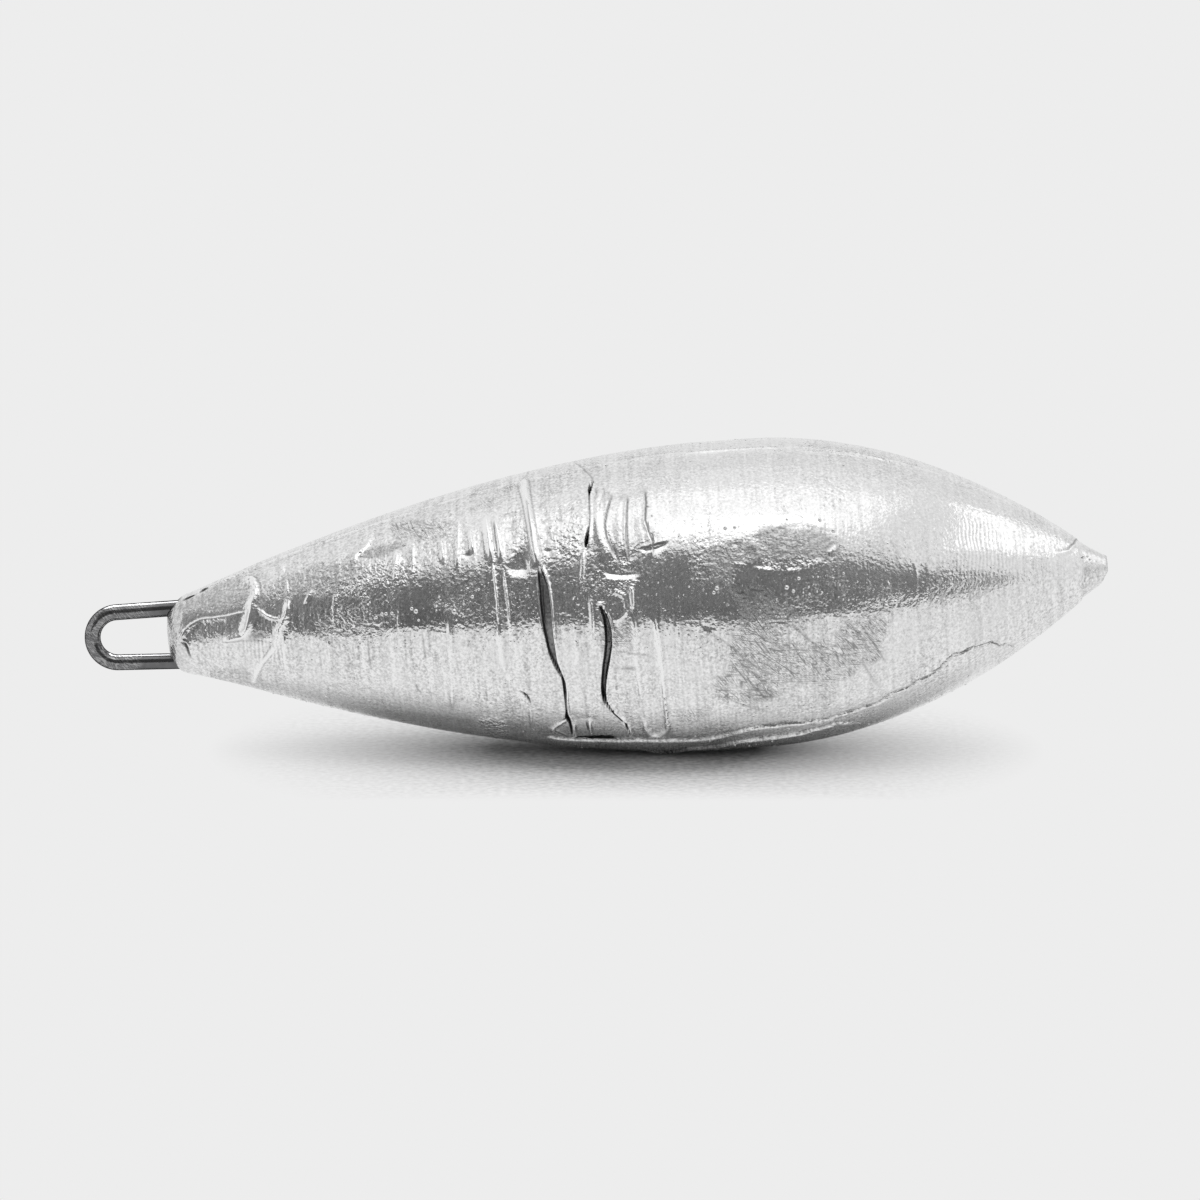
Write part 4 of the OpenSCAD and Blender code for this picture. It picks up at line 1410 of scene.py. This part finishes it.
def steel_wire(finish, grain, scratches):
    """Dark drawn steel wire, with drawing lines and small nicks, and painted shade along its edges."""
    material, tree, leave = new_material("Dark Steel Wire")
    place = object_place(tree)
    fine = used(tree, grain, grain_scale=3000.0, grain_height=0.000012, speck_scale=1900.0,
                speck_height=0.00001)
    nicks = used(tree, scratches, length_scale=250.0, width_scale=1900.0, amount=0.8)
    cloud = mapped(tree, noise(tree, place, 700.0, 4.0), 0.4, 0.65)
    colour = mixed(tree, cloud * 0.7, tuple(finish.wire_color), tuple(finish.wire_stain))
    colour = mixed(tree, nicks * 0.5, colour, tuple(finish.wire_nick))
    # Painted shade: the colour darkens where the surface turns away from the view, and the grazing
    # reflections take the same dark tint
    facing = add(tree, "ShaderNodeLayerWeight", {"Blend": 0.5}).outputs["Facing"]
    painted_rim = mapped(tree, facing, 0.55, 0.95)
    colour = mixed(tree, painted_rim * 0.85, colour, tuple(finish.wire_edge_shade))
    drawn = add(tree, "ShaderNodeMapping", {"Vector": place, "Scale": (0.05, 1.0, 1.0)})
    height = fine + noise(tree, drawn.outputs[0], 4000.0, 1.0) * 0.000006
    bump = add(tree, "ShaderNodeBump", {"Height": height, "Distance": 1.0})
    metal = add(tree, "ShaderNodeBsdfPrincipled", {
        "Base Color": colour, "Metallic": 1.0, "Specular Tint": tuple(finish.wire_edge_shade),
        "Roughness": cloud * 0.1 + 0.13, "Normal": bump.outputs[0],
    })
    tree.links.new(metal.outputs[0], leave.inputs["Surface"])
    return material


def made_once(name, maker, *values):
    """A material or a node group that several operators use, made by the first of them."""
    found = bpy.data.materials.get(name) or bpy.data.node_groups.get(name)
    return found or maker(*values)


def lead_finish(scene):
    """The lead's material, for the casting and its beads."""
    grain = made_once("Fine Grain", fine_grain_group)
    scratches = made_once("Scratches", scratches_group)
    rings = made_once("Turned Rings", turned_rings_group)
    tilt = scene.sinker_casting.rest_tilt
    return made_once("Bright Cast Lead", cast_lead, scene.sinker_finish, tilt, grain, scratches, rings)


def wire_finish(scene):
    """The wire's material."""
    grain = made_once("Fine Grain", fine_grain_group)
    scratches = made_once("Scratches", scratches_group)
    return made_once("Dark Steel Wire", steel_wire, scene.sinker_finish, grain, scratches)


# Operators

class SINKER_OT_casting(bpy.types.Operator):
    """Make the lead casting with its parting ridge, laps, cracks and wrinkles"""

    bl_idname = "sinker.casting"
    bl_label = "Lead Casting"

    def execute(self, context):
        scene = context.scene
        settings = scene.sinker_casting
        material = lead_finish(scene)
        tree, values = turned_casting_tree(settings, material)
        source = linked("casting_source", bpy.data.meshes.new("casting_source"))
        mesh = grown(source, tree, values, "casting")
        for level in range(REFINE_LEVELS):
            refine(mesh, scene.sinker_stage, level)
        shift, places = pressed(mesh, settings, scene.sinker_marks, scene.sinker_wire, scene.sinker_stage)
        face_outwards(mesh)
        scene["casting_origin"] = list(shift)
        scene["bead_places"] = places
        casting = linked("casting", mesh)
        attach(casting, "root")
        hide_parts("lead_body")
        return {"FINISHED"}


class SINKER_OT_wire(bpy.types.Operator):
    """Make the wire hairpin whose round end is the line eye"""

    bl_idname = "sinker.wire"
    bl_label = "Wire Eye"

    def execute(self, context):
        scene = context.scene
        route = wire_route(scene.sinker_wire)
        tilt = Matrix.Rotation(-scene.sinker_casting.rest_tilt, 3, "Y")
        origin = Vector(scene["casting_origin"])
        curve = bpy.data.curves.new("wire_route", "CURVE")
        curve.dimensions = "3D"
        line = curve.splines.new("POLY")
        line.points.add(len(route) - 1)
        for point, place in zip(line.points, route):
            point.co = (*(tilt @ place + origin), 1.0)
        tree = swept_wire_tree()
        values = {"Wire Radius": scene.sinker_wire.diameter / 2, "Material": wire_finish(scene)}
        mesh = grown(linked("wire_route", curve), tree, values, "wire")
        face_outwards(mesh)
        wire = linked("wire", mesh)
        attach(wire, "root")
        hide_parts("wire_eye")
        return {"FINISHED"}


def arc_points(centre, radius, start, end, count):
    """Points of an arc in the plane of the eye. Its angles run from +X towards +Z."""
    angles = [start + (end - start) * step / count for step in range(count + 1)]
    return [centre + Vector((math.cos(turn), 0.0, math.sin(turn))) * radius for turn in angles]


def wire_route(settings):
    """The wire's route from one anchor's tip to the other's, along the casting's own axis."""
    wire = settings.diameter / 2
    eye = settings.eye_gap / 2 + wire
    bend = settings.anchor_bend + wire
    centre = Vector((-settings.eye_reach + wire + eye, 0.0, 0.0))
    straight = settings.leg_depth - centre.x

    def leg(turn, side):
        """A leg from beside the eye's middle to the tip of its anchor."""
        lay = Matrix.Rotation(turn, 3, "Y")
        places = [straight * step / LEG_STEPS for step in range(1, LEG_STEPS + 1)]
        points = [Vector((place, 0.0, side * eye)) for place in places]
        start = -math.pi / 2 * side
        middle = Vector((straight, 0.0, side * (eye + bend)))
        points += arc_points(middle, bend, start, 0.0, BEND_STEPS)[1:]
        points.append(Vector((straight + bend, 0.0, side * (eye + bend + settings.anchor_length))))
        return [centre + lay @ point for point in points]

    upper = leg(0.0, 1.0)
    lower = leg(settings.leg_spread, -1.0)
    loop = arc_points(centre, eye, math.pi / 2, math.pi * 1.5 - settings.leg_spread, EYE_STEPS)
    return upper[::-1] + loop + lower


def swept_wire_tree():
    """A node tree that sweeps a round section along a route."""
    tree = bpy.data.node_groups.new("Swept Wire", "GeometryNodeTree")
    sockets(tree, "INPUT", "Geometry", "Route")
    sockets(tree, "INPUT", "Float", "Wire Radius")
    sockets(tree, "INPUT", "Material", "Material")
    sockets(tree, "OUTPUT", "Geometry", "Geometry")
    given = inputs_of(tree)
    section = add(tree, "GeometryNodeCurvePrimitiveCircle", {"Resolution": WIRE_SIDES,
                                                             "Radius": given["Wire Radius"]})
    swept = add(tree, "GeometryNodeCurveToMesh", {"Curve": given["Route"],
                                                  "Profile Curve": section.outputs[0],
                                                  "Fill Caps": True})
    finish_tree(tree, swept.outputs[0], given["Material"])
    return tree


class SINKER_OT_beads(bpy.types.Operator):
    """Scatter small beads of lead over the casting's skin"""

    bl_idname = "sinker.beads"
    bl_label = "Lead Beads"

    def execute(self, context):
        scene = context.scene
        settings = scene.sinker_beads
        tree = scattered_beads_tree()
        values = {"Radius": settings.radius, "Density": settings.density, "Seed": settings.seed,
                  "Material": lead_finish(scene)}
        skin = bpy.data.objects["casting"]
        mesh = grown(linked("bead_source", skin.data.copy()), tree, values, "beads")
        place_beads(mesh, list(scene["bead_places"]))
        face_outwards(mesh)
        beads = linked("beads", mesh)
        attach(beads, "root")
        return {"FINISHED"}


def place_beads(mesh, places):
    """Adds a bead at each place of a flat list of x, y, z and radius."""
    shape = bmesh.new()
    shape.from_mesh(mesh)
    first = len(shape.faces)
    for start in range(0, len(places), 4):
        *place, radius = places[start:start + 4]
        where = Matrix.Translation(place)
        bmesh.ops.create_icosphere(shape, subdivisions=2, radius=radius, matrix=where)
    shape.faces.ensure_lookup_table()
    for face in shape.faces[first:]:
        face.smooth = True
    shape.to_mesh(mesh)
    shape.free()


def scattered_beads_tree():
    """A node tree that sets half-sunk beads of chance sizes on a skin, apart from its foot."""
    tree = bpy.data.node_groups.new("Scattered Beads", "GeometryNodeTree")
    sockets(tree, "INPUT", "Geometry", "Skin")
    sockets(tree, "INPUT", "Float", "Radius", "Density")
    sockets(tree, "INPUT", "Int", "Seed")
    sockets(tree, "INPUT", "Material", "Material")
    sockets(tree, "OUTPUT", "Geometry", "Geometry")
    given = inputs_of(tree)
    place = tree.nodes.new("GeometryNodeInputPosition").outputs[0]
    crowd = mapped(tree, noise(tree, place, 90.0, 1.0), 0.42, 0.7)
    clear = axis(tree, place, "Z").math("GREATER_THAN", BEADLESS_HEIGHT)
    spots = add(tree, "GeometryNodeDistributePointsOnFaces", {
        "Mesh": given["Skin"], "Density": crowd * clear * given["Density"], "Seed": given["Seed"],
    })
    bead = add(tree, "GeometryNodeMeshIcoSphere", {"Radius": given["Radius"], "Subdivisions": 2})
    chance = add(tree, "FunctionNodeRandomValue", {"Seed": given["Seed"]}, data_type="FLOAT")
    size = Number(tree, chance.outputs[1]) ** 2.5 * 0.7 + 0.3
    flat = add(tree, "ShaderNodeCombineXYZ", {"X": size, "Y": size, "Z": size * 0.6})
    placed = add(tree, "GeometryNodeInstanceOnPoints", {
        "Points": spots.outputs["Points"], "Instance": bead.outputs["Mesh"],
        "Rotation": spots.outputs["Rotation"], "Scale": flat.outputs[0],
    })
    finish_tree(tree, placed.outputs[0], given["Material"])
    return tree


class SINKER_OT_stage(bpy.types.Operator):
    """Set the table, the card, the lights and the camera"""

    bl_idname = "sinker.stage"
    bl_label = "Stage"

    def execute(self, context):
        scene = context.scene
        settings = scene.sinker_stage
        table = linked("table", flat_mesh("table", TABLE_SIDE))
        table.data.materials.append(table_finish(settings))
        # A glowing card seen only in the metal's reflections: a painted reflection of dark surroundings
        card = linked("card", card_mesh())
        card.data.materials.append(card_finish(settings))
        card.visible_camera = False
        card.visible_diffuse = False
        card.visible_shadow = False
        sky(scene, settings)
        boxes = {}
        for name, setting, place, target, width, depth in SOFTBOXES:
            boxes[name] = softbox(name, place, target, width, depth, getattr(settings, setting))
        boxes["key"].visible_glossy = False
        boxes["box_side"].rotation_euler.z += settings.side_turn
        lit = bpy.data.collections.new("strip_lit")
        lit.objects.link(bpy.data.objects["wire"])
        boxes["wire_strip"].light_linking.receiver_collection = lit
        camera(scene, settings)
        scene.view_settings.view_transform = "Standard"
        return {"FINISHED"}


def flat_mesh(name, side):
    """A level square about the origin."""
    half = side / 2
    corners = [(-half, -half, 0), (half, -half, 0), (half, half, 0), (-half, half, 0)]
    mesh = bpy.data.meshes.new(name)
    mesh.from_pydata(corners, [], [(0, 1, 2, 3)])
    return mesh


def distance_from(tree, place, spread, centre):
    """How far a place is from a centre, once it is spread along each axis."""
    moved = add(tree, "ShaderNodeVectorMath", {0: place, 1: spread}, operation="MULTIPLY")
    away = add(tree, "ShaderNodeVectorMath", {0: moved.outputs[0], 1: centre}, operation="DISTANCE")
    return Number(tree, away.outputs["Value"])


def table_finish(settings):
    """A pale matt table that fades into the backdrop away from the sinker."""
    material, tree, leave = new_material("table")
    place = object_place(tree)
    away = distance_from(tree, place, (1.0, 1.1, 0.0), CLEAR_CENTRE)
    across = axis(tree, place, "Y").math("ABSOLUTE")
    seen = mapped(tree, away, settings.fade_start, settings.fade_end)
    seen = seen.most(mapped(tree, across, settings.fade_start * 1.2, settings.fade_end * 0.62))
    near = distance_from(tree, place, (1.0, 3.3, 0.0), CLEAR_CENTRE)
    mirrored = mapped(tree, near, settings.mirror_start, settings.mirror_end)
    ray = tree.nodes.new("ShaderNodeLightPath")
    far = mirrored + (seen - mirrored) * Number(tree, ray.outputs["Is Camera Ray"])
    shade = mapped(tree, noise(tree, place, 1500.0, 2.0), 0.3, 0.7)
    colour = mixed(tree, shade, tuple(settings.table_fibre), tuple(settings.table_color))
    matt = add(tree, "ShaderNodeBsdfDiffuse", {"Color": colour})
    glow = add(tree, "ShaderNodeEmission", {"Color": tuple(settings.backdrop), "Strength": 1.0})
    both = add(tree, "ShaderNodeMixShader", {0: far, 1: matt.outputs[0], 2: glow.outputs[0]})
    tree.links.new(both.outputs[0], leave.inputs["Surface"])
    return material


def card_mesh():
    """A bent card that stands round the front of the sinker, with its shade at each corner, painted for its
    reflection in the metal.
    """
    points = [point for foot, top, _, _ in CARD_POSTS for point in (foot, top)]
    starts = range(0, 2 * len(CARD_POSTS) - 2, 2)
    faces = [(start, start + 2, start + 3, start + 1) for start in starts]
    mesh = bpy.data.meshes.new("card")
    mesh.from_pydata(points, [], faces)
    layer = mesh.attributes.new("shade", "FLOAT", "POINT")
    layer.data.foreach_set("value", [shade for _, _, low, high in CARD_POSTS for shade in (low, high)])
    return mesh


def card_finish(settings):
    """A card that glows in its own shades, a little blotched, as a painted reflection in the metal."""
    material, tree, leave = new_material("card")
    shade = add(tree, "ShaderNodeAttribute", attribute_name="shade")
    blotches = noise(tree, object_place(tree), 80.0, 4.0)
    uneven = mapped(tree, blotches, 0.35, 0.65, 0.7, 1.3) * settings.card_light
    glow = add(tree, "ShaderNodeEmission", {"Color": shade.outputs["Color"], "Strength": uneven})
    tree.links.new(glow.outputs[0], leave.inputs["Surface"])
    return material


def sky(scene, settings):
    """A pale world: the backdrop where it is seen or mirrored, and even light elsewhere."""
    world = bpy.data.worlds.new("sky")
    world.use_nodes = True
    scene.world = world
    tree = world.node_tree
    tree.nodes.clear()
    ray = tree.nodes.new("ShaderNodeLightPath")
    seen = Number(tree, ray.outputs["Is Camera Ray"]).most(Number(tree, ray.outputs["Is Glossy Ray"]))
    seen = seen.most(Number(tree, ray.outputs["Is Transmission Ray"]))
    pale = add(tree, "ShaderNodeBackground", {"Color": tuple(settings.backdrop), "Strength": 1.0})
    white = (1.0, 1.0, 1.0, 1.0)
    light = add(tree, "ShaderNodeBackground", {"Color": white, "Strength": settings.sky_light})
    both = add(tree, "ShaderNodeMixShader", {0: seen, 1: light.outputs[0], 2: pale.outputs[0]})
    tree.links.new(both.outputs[0], tree.nodes.new("ShaderNodeOutputWorld").inputs["Surface"])


def softbox(name, place, target, width, depth, brightness):
    """A softbox whose face has the given brightness, where 1 is white."""
    lamp = bpy.data.lights.new(name, "AREA")
    lamp.shape = "RECTANGLE"
    lamp.size = width
    lamp.size_y = depth
    lamp.energy = brightness * math.pi * width * depth
    holder = linked(name, lamp)
    holder.location = place
    holder.rotation_euler = (Vector(target) - Vector(place)).to_track_quat("-Z", "Y").to_euler()
    return holder


def camera(scene, settings):
    """A long lens that looks a little down, and puts the casting's axis where the photograph has it."""
    lens = bpy.data.cameras.new("camera")
    lens.sensor_width = 36.0
    lens.lens = lens.sensor_width * settings.view_distance / settings.frame_width
    lens.clip_start = 0.01
    lens.clip_end = 20.0
    tail = Vector(scene["casting_origin"])
    pixel = settings.frame_width / PHOTO_SIZE
    elevation = settings.view_elevation
    middle = PHOTO_SIZE / 2
    target_x = tail.x + (middle - TAIL_PIXEL[0]) * pixel
    target_z = tail.z + (TAIL_PIXEL[1] - middle) * pixel / math.cos(elevation)
    target = Vector((target_x, 0.0, target_z))
    back = Vector((0.0, -math.cos(elevation), math.sin(elevation)))
    holder = linked("camera", lens)
    holder.location = target + back * settings.view_distance
    holder.rotation_euler = (-back).to_track_quat("-Z", "Y").to_euler()
    scene.camera = holder


class SINKER_PT_panel(bpy.types.Panel):
    """The sinker's sizes and the buttons that build it"""

    bl_idname = "SINKER_PT_panel"
    bl_label = "Sinker"
    bl_space_type = "VIEW_3D"
    bl_region_type = "UI"
    bl_category = "Sinker"

    def draw(self, context):
        scene = context.scene
        for name, label in GROUPS:
            box = self.layout.box()
            box.label(text=label)
            group = getattr(scene, name)
            for key in group.__annotations__:
                box.prop(group, key)
        for operator in OPERATORS:
            self.layout.operator(operator.bl_idname)


GROUPS = [
    ("sinker_casting", "Casting"), ("sinker_marks", "Casting marks"), ("sinker_wire", "Wire"),
    ("sinker_beads", "Beads"), ("sinker_finish", "Finish"), ("sinker_stage", "Stage"),
]
SETTINGS = [CastingSettings, MarkSettings, WireSettings, BeadSettings, FinishSettings, StageSettings]
OPERATORS = [SINKER_OT_casting, SINKER_OT_wire, SINKER_OT_beads, SINKER_OT_stage]


def register():
    for kind in SETTINGS + OPERATORS + [SINKER_PT_panel]:
        bpy.utils.register_class(kind)
    for (name, _), kind in zip(GROUPS, SETTINGS):
        setattr(bpy.types.Scene, name, PointerProperty(type=kind))


def unregister():
    for name, _ in GROUPS:
        delattr(bpy.types.Scene, name)
    for kind in reversed(SETTINGS + OPERATORS + [SINKER_PT_panel]):
        bpy.utils.unregister_class(kind)


def main():
    register()
    bpy.ops.sinker.casting()
    bpy.ops.sinker.wire()
    bpy.ops.sinker.beads()
    bpy.ops.sinker.stage()


if __name__ == "__main__":
    main()
